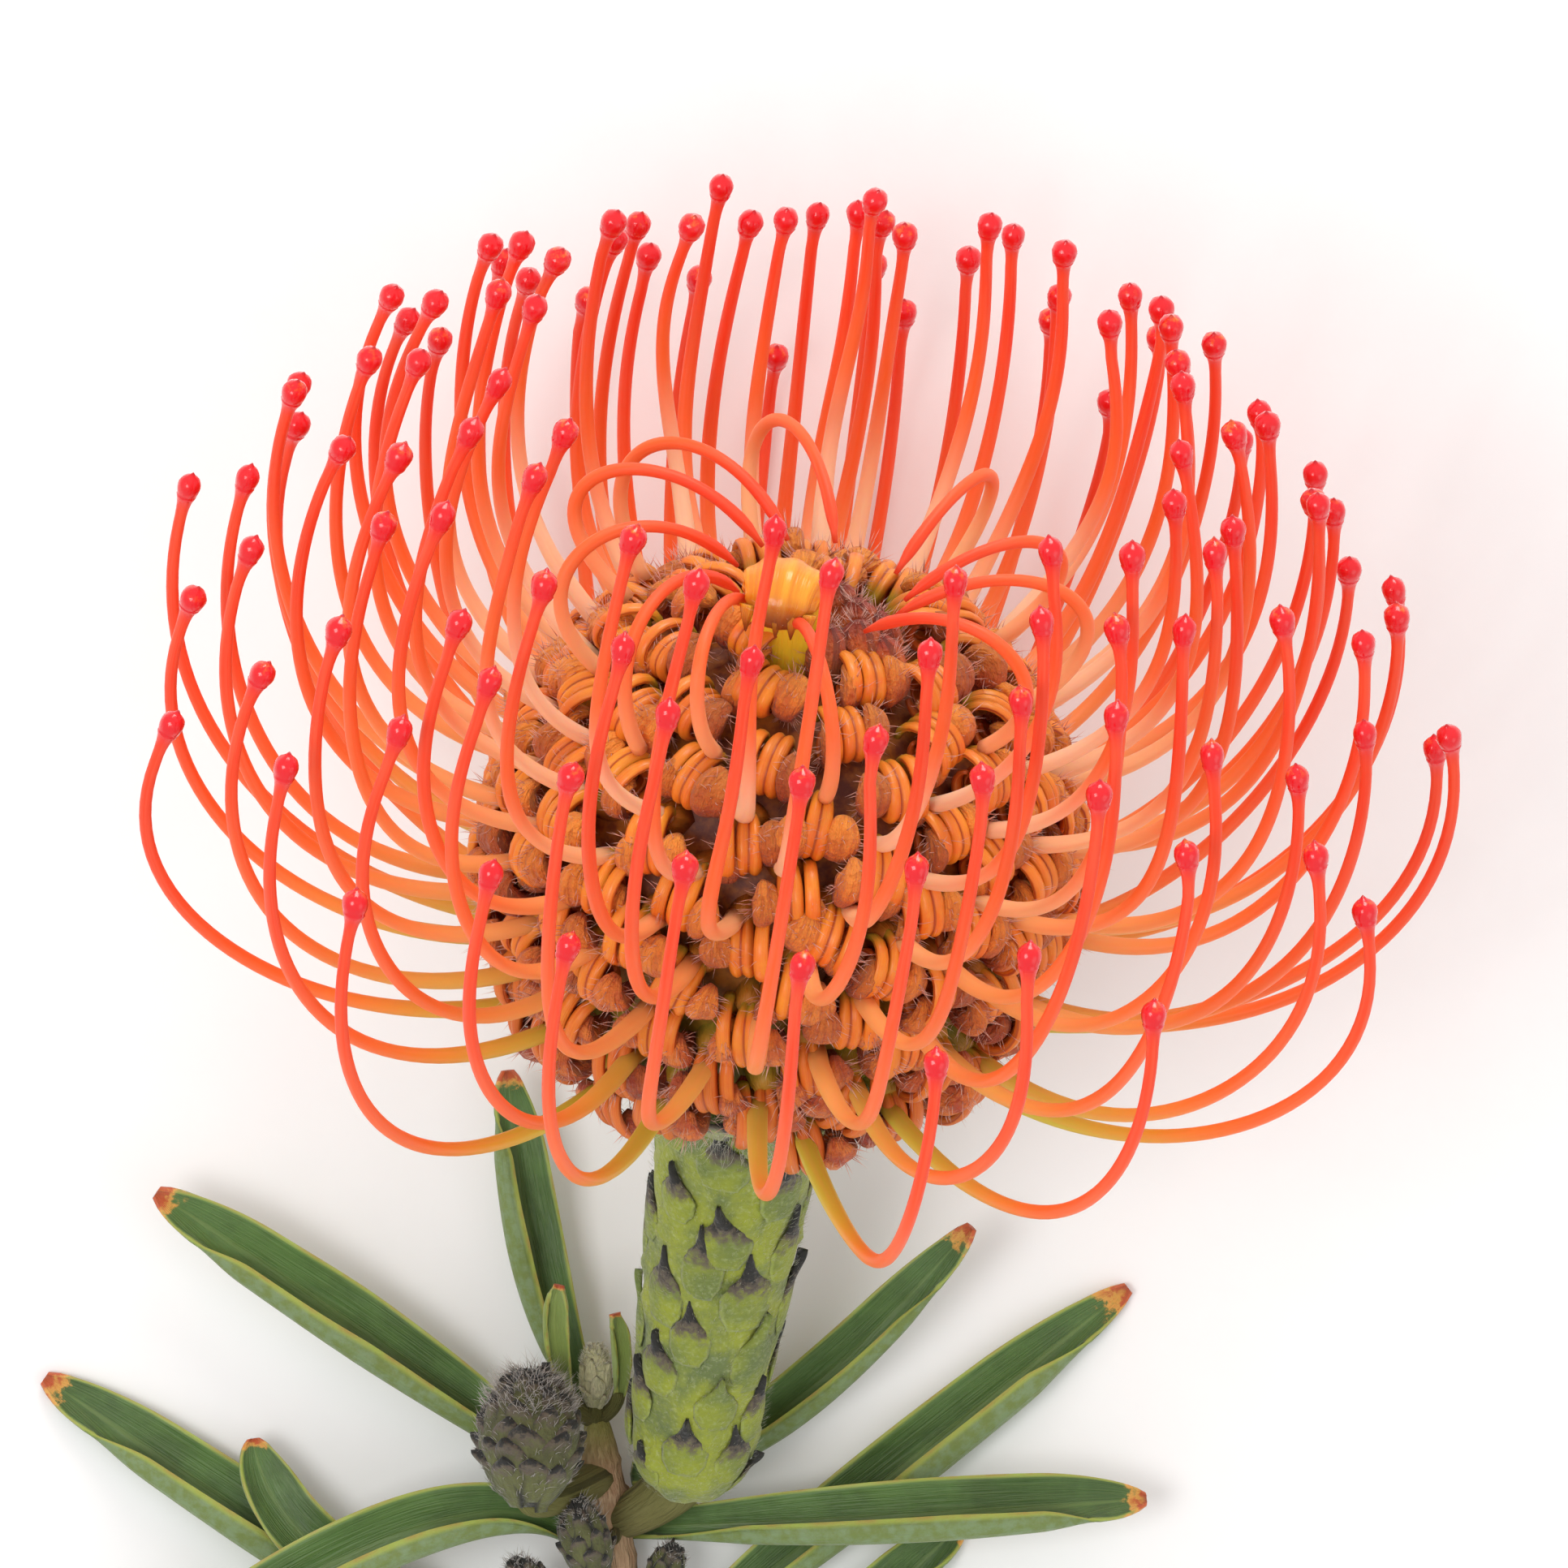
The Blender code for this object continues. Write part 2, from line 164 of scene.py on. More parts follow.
# Buds: name, root, tip (mm from the head's middle), radius, number of scales, hairs of the crest
BUDS = (
    ("bud_large", (-20.2, -49.5, -26.2), (-20.0, -38.2, -25.2), 4.5, 46, 420),
    ("bud_middle", (-14.6, -56.0, -30.4), (-16.4, -49.0, -28.8), 2.3, 26, 90),
    ("bud_side", (-18.8, -59.5, -30.9), (-21.5, -54.0, -29.6), 2.2, 24, 90),
    ("bud_hidden", (-9.6, -57.0, -33.8), (-8.0, -52.9, -33.0), 1.7, 18, 50),
    ("bud_shoot", (-14.7, -41.7, -32.2), (-14.6, -36.2, -30.6), 1.5, 14, 160),
)


# ---------------------------------------------------------------- settings

def length(name, description, millimetres):
    return FloatProperty(name=name, description=description, default=millimetres * MM,
                         min=0.0, precision=5, unit="LENGTH")


def colour(name, description, red, green, blue):
    return FloatVectorProperty(name=name, description=description, size=3, subtype="COLOR",
                               min=0.0, max=1.0, default=(red, green, blue))


class PROTEA_PG_sizes(bpy.types.PropertyGroup):
    """Sizes of the flower's pieces."""
    florets: IntProperty(name="Florets", description="Number of florets in the head", default=160)
    dome_radius: length("Dome radius", "Radius of the dome that the florets stand on", 24.0)
    tip_ball: length("Tip ball", "Radius of the ball that the style tips lie on", 57.6)
    style_radius: length("Style radius", "Half the thickness of a style's shaft", 0.60)
    style_root_radius: length("Style root", "Half the width of a style where it leaves the head", 0.86)
    ribbon_width: length("Ribbon width", "Width of a rolled-back petal ribbon", 2.35)
    limb_radius: length("Limb radius", "Half the thickness of a hairy petal end", 1.25)
    leaf_thickness: length("Leaf thickness", "Thickness of a leaf's blade", 0.8)
    hair_length: length("Hair length", "Length of the hairs on the petal ends", 1.3)


class PROTEA_PG_colours(bpy.types.PropertyGroup):
    """Colours of the flower's finishes, as linear values."""
    # Painted backlit glow: the pale root colour of the styles at the top of the head.
    style_backlit_root: colour("Style, pale root", "Root of the styles at the top of the head", 1.0, 0.66, 0.42)
    style_amber: colour("Style, amber root", "Root of the styles at the sides", 0.97, 0.42, 0.13)
    style_lime: colour("Style, green root", "Root of the lowest styles", 0.62, 0.52, 0.055)
    style_orange: colour("Style, orange", "Lower shaft of a style", 1.0, 0.160, 0.032)
    style_coral: colour("Style, coral", "Upper shaft of a style", 0.96, 0.066, 0.020)
    style_crimson: colour("Style, crimson", "Swollen tip of a style", 0.80, 0.006, 0.014)
    ribbon: colour("Ribbon", "Ribs of a rolled-back petal ribbon", 0.95, 0.20, 0.022)
    # Painted shade for the ribbon's grooves and for its end inside the coil.
    ribbon_groove_shade_and_end: colour("Ribbon groove", "Grooves and ends of a petal ribbon", 0.40, 0.045, 0.010)
    floret_green: colour("Floret base", "Yellow-green base of the florets", 0.42, 0.40, 0.035)
    limb: colour("Petal end", "Hairy red-brown end of a petal", 0.52, 0.085, 0.030)
    hair: colour("Hair", "Fine hairs on the petal ends", 0.90, 0.46, 0.36)
    gold: colour("Gold", "Young floret at the top of the head", 0.82, 0.26, 0.008)
    leaf: colour("Leaf", "Face of a leaf", 0.055, 0.110, 0.024)
    leaf_grey: colour("Leaf, grey", "Velvety back of a leaf", 0.170, 0.225, 0.055)
    leaf_margin: colour("Leaf margin", "Thick pale margin of a leaf", 0.36, 0.44, 0.075)
    callus: colour("Leaf tip", "Hard red-brown tip of a leaf", 0.55, 0.10, 0.025)
    stalk: colour("Stalk", "Bright green of the flower stalk", 0.30, 0.34, 0.026)
    stalk_grey: colour("Stalk, grey", "Velvety grey-green of the stalk", 0.135, 0.180, 0.050)
    scale_tip: colour("Scale tip", "Charcoal tips of the scales", 0.025, 0.024, 0.022)
    bark: colour("Bark", "Tan bark of the stem", 0.42, 0.26, 0.15)
    bark_red: colour("Bark, red", "Reddish streaks in the bark", 0.26, 0.09, 0.05)
    bud: colour("Bud", "Dark scales of a bud", 0.060, 0.055, 0.030)
    wool: colour("Wool", "Grey-purple wool on a bud", 0.56, 0.50, 0.46)
    cream_wool: colour("Pale wool", "Cream silk of the shoot and the collar", 0.75, 0.72, 0.58)
    surface: colour("Surface", "The plain pale surface under the flower", 0.94, 0.94, 0.94)


# ---------------------------------------------------------------- shape of the flower

def head_frame():
    """The head's axis, its sideways direction and the direction that faces up and forwards."""
    axis = Vector((
        math.cos(HEAD_RISE) * math.sin(HEAD_LEAN),
        math.cos(HEAD_RISE) * math.cos(HEAD_LEAN),
        math.sin(HEAD_RISE),
    ))
    side = axis.cross(UP).normalized()
    front = side.cross(axis).normalized()
    return axis, side, front


AXIS, SIDE, FRONT = head_frame()


def around(first, second, angle):
    """Direction between two crossed ones, at an angle from the first."""
    return first * math.cos(angle) + second * math.sin(angle)


def outward(turn):
    """Unit vector away from the head's axis, at an angle round it."""
    return around(SIDE, FRONT, turn)


def head_point(radius, turn, height):
    return HEAD_CENTRE + outward(turn) * radius + AXIS * height


def dome_point(slope, turn, radius):
    """Point on the dome; below its widest part it is stretched towards the neck."""
    height = radius * math.cos(slope)
    if height < 0.0:
        height *= DOME_STRETCH
    return head_point(radius * math.sin(slope), turn, DOME_OFFSET + height)


def floret_place(index):
    """Angle from the head's top and turn round its axis of one floret."""
    share = (index + 0.5) / sizes().florets
    slope = math.acos(1.0 - share * (1.0 - math.cos(DOME_REACH)))
    return slope, index * GOLDEN_TURN


def sizes():
    return bpy.context.scene.protea_sizes


def colours():
    return bpy.context.scene.protea_colours


def smooth(low, high, value):
    share = min(1.0, max(0.0, (value - low) / (high - low)))
    return share * share * (3.0 - 2.0 * share)


def profile(stops, value):
    """Smooth value between (place, size) stops."""
    for (a, low), (b, high) in zip(stops, stops[1:]):
        if value <= b:
            return low + (high - low) * smooth(a, b, value)
    return stops[-1][1]


def bezier(points, t):
    """Point on a Bezier curve of any degree."""
    while len(points) > 1:
        points = [a.lerp(b, t) for a, b in zip(points, points[1:])]
    return points[0]


def curve(guides, count):
    """Evenly spread points of a Bezier curve."""
    return [bezier(guides, k / (count - 1)) for k in range(count)]


def any_turn(chance):
    return chance.uniform(0.0, 2.0 * math.pi)


def rest_on_floor(point, radius):
    """Bend a point smoothly up so that a round piece there stays on the surface."""
    room = FLOOR_SOFTNESS - radius
    if point.z < FLOOR_SOFTNESS:
        point = point.copy()
        point.z = radius + room * math.exp((point.z - FLOOR_SOFTNESS) / room)
    return point


def from_head(spot):
    return HEAD_CENTRE + Vector(spot) * MM


def open_style_curve(index, chance):
    """The four guide points of an open style: out from the dome, then up to its tip."""
    slope, turn = floret_place(index)
    first_slope = floret_place(CLOSED_FLORETS)[0]
    reach = (slope - first_slope) / (DOME_REACH - first_slope)
    turn += chance.uniform(-0.05, 0.05)
    latitude = INNER_LATITUDE - LATITUDE_DROP * reach - LATITUDE_BEND * reach * reach
    latitude += chance.uniform(-0.045, 0.045)
    ball = sizes().tip_ball + chance.uniform(-TIP_SCATTER, TIP_SCATTER)
    root = dome_point(slope, turn, sizes().dome_radius + SOLID_GAP)
    tip = head_point(ball * math.cos(latitude), turn, ball * math.sin(latitude))
    start = slope - LEVEL_SHARE * max(0.0, slope - LEVEL_SLOPE)
    leave = outward(turn) * math.sin(start) + AXIS * math.cos(start)
    lean = TIP_LEAN + chance.uniform(-0.1, 0.1)
    arrive = AXIS * math.cos(lean) - outward(turn) * math.sin(lean)
    span = (tip - root).length
    return [root, root + leave * span * ROOT_HANDLE, tip - arrive * span * TIP_HANDLE, tip]


def closed_style_curve(number):
    """The guide points of a style still looped over, its end tucked into the head's middle."""
    index = CLOSED_FLORETS - LOOPED_FLORETS + number
    slope, turn = floret_place(index)
    swell = 1.0 + LOOP_SWELL * math.sin(index * 2.3)
    guides = [dome_point(slope, turn, sizes().dome_radius + SOLID_GAP)]
    for radius, height, added in LOOP_ROUTE:
        guides.append(head_point(radius * swell * MM, turn + added, height * MM))
        swell = 1.0
    return guides


# ---------------------------------------------------------------- mesh building

MARKS = ("along", "across", "tone", "reach")


def path_frames(points, start=None):
    """Two cross directions at each point of a path, turning as little as possible."""
    frames = []
    across = start
    for k in range(len(points)):
        along = (points[min(k + 1, len(points) - 1)] - points[max(k - 1, 0)]).normalized()
        if across is None:
            across = along.orthogonal()
        across = (across - along * across.dot(along)).normalized()
        frames.append((across, along.cross(across)))
    return frames


class Shape:
    """Collects points, faces and the four marks that the materials read."""

    def __init__(self):
        self.points = []
        self.faces = []
        self.marks = []

    def point(self, place, along=0.0, across=0.0, tone=0.0, reach=0.0):
        self.points.append(place[:])
        self.marks.append((along, across, tone, reach))
        return len(self.points) - 1

    def skin(self, rings, marks):
        """Faces between closed rings of points, with a fan of faces over each end."""
        rows = []
        for ring, ring_marks in zip(rings, marks):
            rows.append([self.point(place, *mark) for place, mark in zip(ring, ring_marks)])
        count = len(rings[0])
        for lower, upper in zip(rows, rows[1:]):
            for k in range(count):
                after = (k + 1) % count
                self.faces.append((lower[k], lower[after], upper[after], upper[k]))
        for row, ring, ring_marks, flip in ((rows[0], rings[0], marks[0], True),
                                            (rows[-1], rings[-1], marks[-1], False)):
            middle = sum((Vector(place) for place in ring), Vector()) / count
            hub = self.point(middle, *ring_marks[0])
            for k in range(count):
                pair = (row[k], row[(k + 1) % count])
                self.faces.append((hub, pair[1], pair[0]) if flip else (hub, pair[0], pair[1]))

    def tube(self, path, radii, sides=10, flat=None, lobes=None, tone=0.0, reach=0.0, start=None,
             span=(0.0, 1.0)):
        """A round tube; flat squeezes it ring by ring and lobes is a list of (count, depth) by ring."""
        rings = []
        marks = []
        last = len(path) - 1
        for row, (place, radius, (across, up)) in enumerate(zip(path, radii, path_frames(path, start))):
            squeeze = flat[row] if flat else 1.0
            count, depth = lobes[row] if lobes else (1, 0.0)
            along = span[0] + (span[1] - span[0]) * row / last
            ring = []
            for k in range(sides):
                angle = 2.0 * math.pi * k / sides
                size = radius * (1.0 + depth * math.cos(count * angle))
                ring.append(place + across * math.cos(angle) * size + up * math.sin(angle) * size * squeeze)
            rings.append(ring)
            marks.append([(along, k / sides, tone, reach) for k in range(sides)])
        self.skin(rings, marks)

    def join(self, other):
        """Take in the points, marks and faces of another shape."""
        first = len(self.points)
        self.points += other.points
        self.marks += other.marks
        self.faces += [tuple(first + place for place in face) for face in other.faces]

    def hair(self, root, heading, size, thickness, bend, tone=0.0, reach=0.0):
        """One tapered, bent hair of three sides."""
        heading = heading.normalized()
        side = heading.orthogonal().normalized()
        other = heading.cross(side)
        rows = []
        for share, width in ((0.0, 1.0), (0.5, 0.7)):
            middle = root + heading * size * share + bend * size * share * share
            row = []
            for k in range(3):
                angle = 2.0 * math.pi * k / 3.0
                place = middle + around(side, other, angle) * thickness * width
                row.append(self.point(place, share, 0.0, tone, reach))
            rows.append(row)
        tip = self.point(root + heading * size + bend * size, 1.0, 0.0, tone, reach)
        self.faces.append(tuple(reversed(rows[0])))
        for k in range(3):
            after = (k + 1) % 3
            self.faces.append((rows[0][k], rows[0][after], rows[1][after], rows[1][k]))
            self.faces.append((rows[1][k], rows[1][after], tip))

    def build(self, name, material, replaced=(), slot=None):
        """Make the object, let it ride on the root and stand in for its solids."""
        mesh = bpy.data.meshes.new(name)
        mesh.from_pydata(self.points, [], self.faces)
        for column, mark in enumerate(MARKS):
            layer = mesh.attributes.new(mark, "FLOAT", "POINT")
            layer.data.foreach_set("value", [row[column] for row in self.marks])
        tidy = bmesh.new()
        tidy.from_mesh(mesh)
        bmesh.ops.recalc_face_normals(tidy, faces=tidy.faces)
        tidy.to_mesh(mesh)
        tidy.free()
        mesh.shade_smooth()
        mesh.materials.append(material)
        piece = bpy.data.objects.new(name, mesh)
        bpy.context.collection.objects.link(piece)
        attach(piece, "root")
        if replaced:
            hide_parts(*replaced)
        return piece


# ---------------------------------------------------------------- shader building

def new_socket(group, name, kind, into, default=None):
    socket = group.interface.new_socket(name=name, in_out="INPUT" if into else "OUTPUT", socket_type=kind)
    if default is not None:
        socket.default_value = default
    return socket


def node(tree, kind, **values):
    made = tree.nodes.new(kind)
    for key, value in values.items():
        setattr(made, key, value)
    return made


def feed(tree, socket, value):
    """Link an output to a socket, or set the socket to a plain value."""
    if isinstance(value, bpy.types.NodeSocket):
        tree.links.new(value, socket)
    elif hasattr(socket.default_value, "__len__") and len(socket.default_value) == 4:
        socket.default_value = (*value[:3], 1.0)
    else:
        socket.default_value = value


def maths(tree, operation, first, second=0.0, third=0.0):
    made = node(tree, "ShaderNodeMath", operation=operation)
    for socket, value in zip(made.inputs, (first, second, third)):
        feed(tree, socket, value)
    return made.outputs[0]


def times(tree, first, second):
    return maths(tree, "MULTIPLY", first, second)


def ease(tree, value, low, high):
    """0 below low, 1 above high, smooth between."""
    made = node(tree, "ShaderNodeMapRange", interpolation_type="SMOOTHSTEP")
    feed(tree, made.inputs["Value"], value)
    made.inputs["From Min"].default_value = low
    made.inputs["From Max"].default_value = high
    return made.outputs["Result"]


def blend(tree, factor, first, second):
    """First mixed towards second by a factor."""
    made = node(tree, "ShaderNodeMix", data_type="RGBA")
    feed(tree, made.inputs[0], factor)
    feed(tree, made.inputs[6], first)
    feed(tree, made.inputs[7], second)
    return made.outputs[2]


def mark(tree, name):
    return node(tree, "ShaderNodeAttribute", attribute_name=name).outputs["Fac"]


def mottle_group():
    """Two colours in soft irregular patches."""
    group = bpy.data.node_groups.new("mottle", "ShaderNodeTree")
    new_socket(group, "First", "NodeSocketColor", True)
    new_socket(group, "Second", "NodeSocketColor", True)
    new_socket(group, "Scale", "NodeSocketFloat", True, 500.0)
    new_socket(group, "Balance", "NodeSocketFloat", True, 0.5)
    new_socket(group, "Colour", "NodeSocketColor", False)
    new_socket(group, "Mask", "NodeSocketFloat", False)
    inside = node(group, "NodeGroupInput").outputs
    outside = node(group, "NodeGroupOutput").inputs
    noise = node(group, "ShaderNodeTexNoise")
    feed(group, noise.inputs["Vector"], node(group, "ShaderNodeTexCoord").outputs["Object"])
    feed(group, noise.inputs["Scale"], inside["Scale"])
    noise.inputs["Detail"].default_value = 5.0
    noise.inputs["Roughness"].default_value = 0.62
    shifted = maths(group, "ADD", noise.outputs["Fac"], maths(group, "SUBTRACT", inside["Balance"], 0.5))
    mask = ease(group, shifted, 0.36, 0.64)
    feed(group, outside["Mask"], mask)
    feed(group, outside["Colour"], blend(group, mask, inside["First"], inside["Second"]))
    return group


def streak_group():
    """Fine lines that run along a piece, from its own along and across marks."""
    group = bpy.data.node_groups.new("streaks", "ShaderNodeTree")
    new_socket(group, "Lines", "NodeSocketFloat", True, 30.0)
    new_socket(group, "Stretch", "NodeSocketFloat", True, 4.0)
    new_socket(group, "Mask", "NodeSocketFloat", False)
    inside = node(group, "NodeGroupInput").outputs
    outside = node(group, "NodeGroupOutput").inputs
    place = node(group, "ShaderNodeCombineXYZ")
    feed(group, place.inputs["X"], times(group, mark(group, "across"), inside["Lines"]))
    feed(group, place.inputs["Y"], times(group, mark(group, "along"), inside["Stretch"]))
    feed(group, place.inputs["Z"], times(group, mark(group, "tone"), 37.0))
    noise = node(group, "ShaderNodeTexNoise")
    feed(group, noise.inputs["Vector"], place.outputs["Vector"])
    noise.inputs["Scale"].default_value = 1.0
    noise.inputs["Detail"].default_value = 4.0
    feed(group, outside["Mask"], ease(group, noise.outputs["Fac"], 0.32, 0.68))
    return group


def velvet_group():
    """Height of a short dense nap, for a Bump node."""
    group = bpy.data.node_groups.new("velvet", "ShaderNodeTree")
    new_socket(group, "Scale", "NodeSocketFloat", True, 6000.0)
    new_socket(group, "Height", "NodeSocketFloat", False)
    inside = node(group, "NodeGroupInput").outputs
    outside = node(group, "NodeGroupOutput").inputs
    where = node(group, "ShaderNodeTexCoord").outputs["Object"]
    fine = node(group, "ShaderNodeTexNoise")
    feed(group, fine.inputs["Vector"], where)
    feed(group, fine.inputs["Scale"], inside["Scale"])
    fine.inputs["Detail"].default_value = 3.0
    cells = node(group, "ShaderNodeTexVoronoi")
    feed(group, cells.inputs["Vector"], where)
    feed(group, cells.inputs["Scale"], times(group, inside["Scale"], 0.45))
    feed(group, outside["Height"], maths(group, "ADD", fine.outputs["Fac"], cells.outputs["Distance"]))
    return group


GROUPS = {"mottle": mottle_group, "streaks": streak_group, "velvet": velvet_group}


def effect(tree, name, **values):
    """Place a shared effect group and set its inputs."""
    made = node(tree, "ShaderNodeGroup")
    made.node_tree = bpy.data.node_groups.get(name) or GROUPS[name]()
    for key, value in values.items():
        feed(tree, made.inputs[key], value)
    return made.outputs


def mottled(tree, first, second, scale, balance=0.5):
    """Two colours in soft irregular patches."""
    return effect(tree, "mottle", First=first, Second=second, Scale=scale, Balance=balance)["Colour"]


def patch_mask(tree, scale, balance=0.5):
    return effect(tree, "mottle", Scale=scale, Balance=balance)["Mask"]


def streak_mask(tree, lines, stretch):
    return effect(tree, "streaks", Lines=lines, Stretch=stretch)["Mask"]


def velvet_height(tree, scale):
    return effect(tree, "velvet", Scale=scale)["Height"]


def edge_mark(tree):
    """0 on a piece's middle line, 1 at both of its margins."""
    return maths(tree, "ABSOLUTE", maths(tree, "MULTIPLY_ADD", mark(tree, "across"), 2.0, -1.0))


def ragged_end(tree, along, scale, depth):
    """The along mark with an uneven front."""
    uneven = maths(tree, "SUBTRACT", patch_mask(tree, scale), 0.5)
    return maths(tree, "ADD", along, times(tree, uneven, depth))


class Finish:
    """One material with its Principled shader."""

    def __init__(self, name, roughness=0.5, specular=0.5, subsurface=0.0, depth=1.0, tint=(1.0, 0.35, 0.15),
                 sheen=0.0, coat=0.0, coat_roughness=0.1):
        self.material = bpy.data.materials.new(name)
        self.material.use_nodes = True
        self.tree = self.material.node_tree
        self.shader = self.tree.nodes["Principled BSDF"]
        self.set("Roughness", roughness)
        self.set("Specular IOR Level", specular)
        self.set("Subsurface Weight", subsurface)
        self.set("Subsurface Radius", tint)
        self.set("Subsurface Scale", depth * MM)
        self.set("Sheen Weight", sheen)
        self.set("Sheen Roughness", 0.45)
        self.set("Coat Weight", coat)
        self.set("Coat Roughness", coat_roughness)

    def set(self, socket, value):
        feed(self.tree, self.shader.inputs[socket], value)

    def bump(self, height, distance, strength=1.0):
        made = node(self.tree, "ShaderNodeBump")
        made.inputs["Distance"].default_value = distance * MM
        made.inputs["Strength"].default_value = strength
        feed(self.tree, made.inputs["Height"], height)
        self.set("Normal", made.outputs["Normal"])


def style_finish():
    """Waxy skin: amber or green root, painted pale at the top of the head as backlit glow, orange and coral
    shaft, glossy crimson tip.
    """
    shade = colours()
    finish = Finish("style_skin", specular=0.28, subsurface=0.35, depth=1.3, tint=(1.0, 0.30, 0.08),
                    coat_roughness=0.06)
    tree = finish.tree
    along = mark(tree, "along")
    reach = mark(tree, "reach")
    # The root is painted pale at the top of the head as backlit glow, amber at the sides and green low down.
    root = blend(tree, ease(tree, reach, 0.22, 0.62), shade.style_backlit_root, shade.style_amber)
    root = blend(tree, ease(tree, reach, 0.70, 0.97), root, shade.style_lime)
    wander = times(tree, mark(tree, "tone"), 0.16)
    shifted = maths(tree, "SUBTRACT", along, wander)
    # Painted backlit glow: at the top of the head the pale root runs further up the style.
    pale = times(tree, ease(tree, reach, 0.55, 0.15), 0.16)
    shifted = maths(tree, "SUBTRACT", shifted, pale)
    skin = blend(tree, ease(tree, shifted, -0.05, 0.36), root, shade.style_orange)
    skin = blend(tree, ease(tree, shifted, 0.28, 0.72), skin, shade.style_coral)
    streaks = streak_mask(tree, 9.0, 5.0)
    skin = blend(tree, times(tree, streaks, 0.16), skin, (1.0, 0.30, 0.16))
    knob = ease(tree, along, 0.885, 0.925)
    skin = blend(tree, knob, skin, shade.style_crimson)
    pollen = patch_mask(tree, 1500.0, 0.40)
    crown = times(tree, ease(tree, along, 0.955, 0.975), ease(tree, mark(tree, "tone"), 0.45, 0.75))
    skin = blend(tree, times(tree, crown, pollen), skin, (0.95, 0.22, 0.02))
    skin = blend(tree, times(tree, ease(tree, along, 0.985, 1.0), 0.6), skin, (0.22, 0.01, 0.02))
    finish.set("Base Color", skin)
    finish.set("Roughness", maths(tree, "SUBTRACT", 0.44, times(tree, knob, 0.22)))
    finish.set("Coat Weight", times(tree, knob, 0.7))
    finish.bump(streaks, 0.02, 0.5)
    return finish.material


def ribbon_finish():
    """Glossy ribbed orange petals, green at the base and browner low on the head, with a painted highlight
    where each one folds over and painted shade in the grooves and inside the coil.
    """
    shade = colours()
    finish = Finish("petal_ribbon", specular=0.25, subsurface=0.15, depth=0.7, tint=(1.0, 0.3, 0.05),
                    coat_roughness=0.22)
    tree = finish.tree
    along = mark(tree, "along")
    across = mark(tree, "across")
    reach = mark(tree, "reach")
    rib = maths(tree, "ABSOLUTE", maths(tree, "SINE", times(tree, across, 2.0 * math.pi)))
    skin = mottled(tree, shade.ribbon, (0.97, 0.34, 0.022), 480.0)
    # Painted highlight: a pale gold band where the ribbon folds over.
    fold_highlight = times(tree, ease(tree, along, 0.08, 0.20), ease(tree, along, 0.40, 0.24))
    skin = blend(tree, times(tree, fold_highlight, 0.35), skin, (1.0, 0.50, 0.06))
    low = blend(tree, ease(tree, reach, 0.50, 1.0), skin, (0.66, 0.13, 0.025))
    skin = blend(tree, times(tree, mark(tree, "tone"), 0.55), low, (0.66, 0.13, 0.022))
    # Painted shade in the grooves between the ribs.
    skin = blend(tree, ease(tree, rib, 0.50, 0.05), skin, shade.ribbon_groove_shade_and_end)
    # Painted shade inside the coil: the ribbon darkens towards its inner end.
    skin = blend(tree, times(tree, ease(tree, along, 0.50, 1.0), 0.85), skin, shade.ribbon_groove_shade_and_end)
    skin = blend(tree, ease(tree, along, 0.16, 0.02), skin, shade.floret_green)
    streaks = streak_mask(tree, 38.0, 3.0)
    skin = blend(tree, times(tree, streaks, 0.18), skin, (1.0, 0.48, 0.05))
    finish.set("Base Color", skin)
    finish.set("Roughness", maths(tree, "ADD", 0.30, times(tree, streaks, 0.16)))
    finish.set("Coat Weight", times(tree, ease(tree, reach, 1.0, 0.3), 0.45))
    finish.bump(maths(tree, "ADD", rib, times(tree, streaks, 0.25)), 0.10, 0.6)
    return finish.material


def limb_finish():
    """Matt red-brown petal ends under fine hair, with painted light on their tops and painted shade in their
    creases and underneath.
    """
    shade = colours()
    finish = Finish("petal_end", roughness=0.62, sheen=0.12, subsurface=0.15, depth=0.6)
    tree = finish.tree
    skin = mottled(tree, shade.limb, (0.82, 0.22, 0.030), 700.0)
    along = mark(tree, "along")
    # Painted light: the upper part of each petal end is lit gold, most of all on the upper florets.
    painted_top_light = times(tree, ease(tree, along, 0.85, 0.10), ease(tree, mark(tree, "reach"), 0.9, 0.3))
    skin = blend(tree, times(tree, painted_top_light, 0.9), skin, (0.98, 0.36, 0.040))
    folds = streak_mask(tree, 16.0, 2.5)
    # Painted shade: the creases of the folds are darker.
    skin = blend(tree, times(tree, ease(tree, folds, 0.5, 0.0), 0.40), skin, (0.42, 0.055, 0.012))
    # Painted shade: the far end of each petal end, which curls underneath, is dark red-brown.
    skin = blend(tree, ease(tree, along, 0.60, 1.0), skin, (0.36, 0.045, 0.016))
    darker = times(tree, ease(tree, mark(tree, "tone"), 0.55, 1.0), 0.55)
    skin = blend(tree, darker, skin, (0.24, 0.026, 0.016))
    finish.set("Base Color", skin)
    finish.bump(maths(tree, "ADD", velvet_height(tree, 3600.0), folds), 0.30, 0.9)
    return finish.material


def hair_finish(name, base, tip, roughness=0.55):
    """Fine pale hairs, lighter at their tips."""
    finish = Finish(name, roughness=roughness, sheen=0.3, subsurface=0.3, depth=0.4, tint=(1.0, 0.8, 0.7))
    tree = finish.tree
    skin = blend(tree, mark(tree, "along"), base, tip)
    skin = blend(tree, times(tree, mark(tree, "tone"), 0.25), skin, (0.95, 0.84, 0.70))
    finish.set("Base Color", skin)
    return finish.material


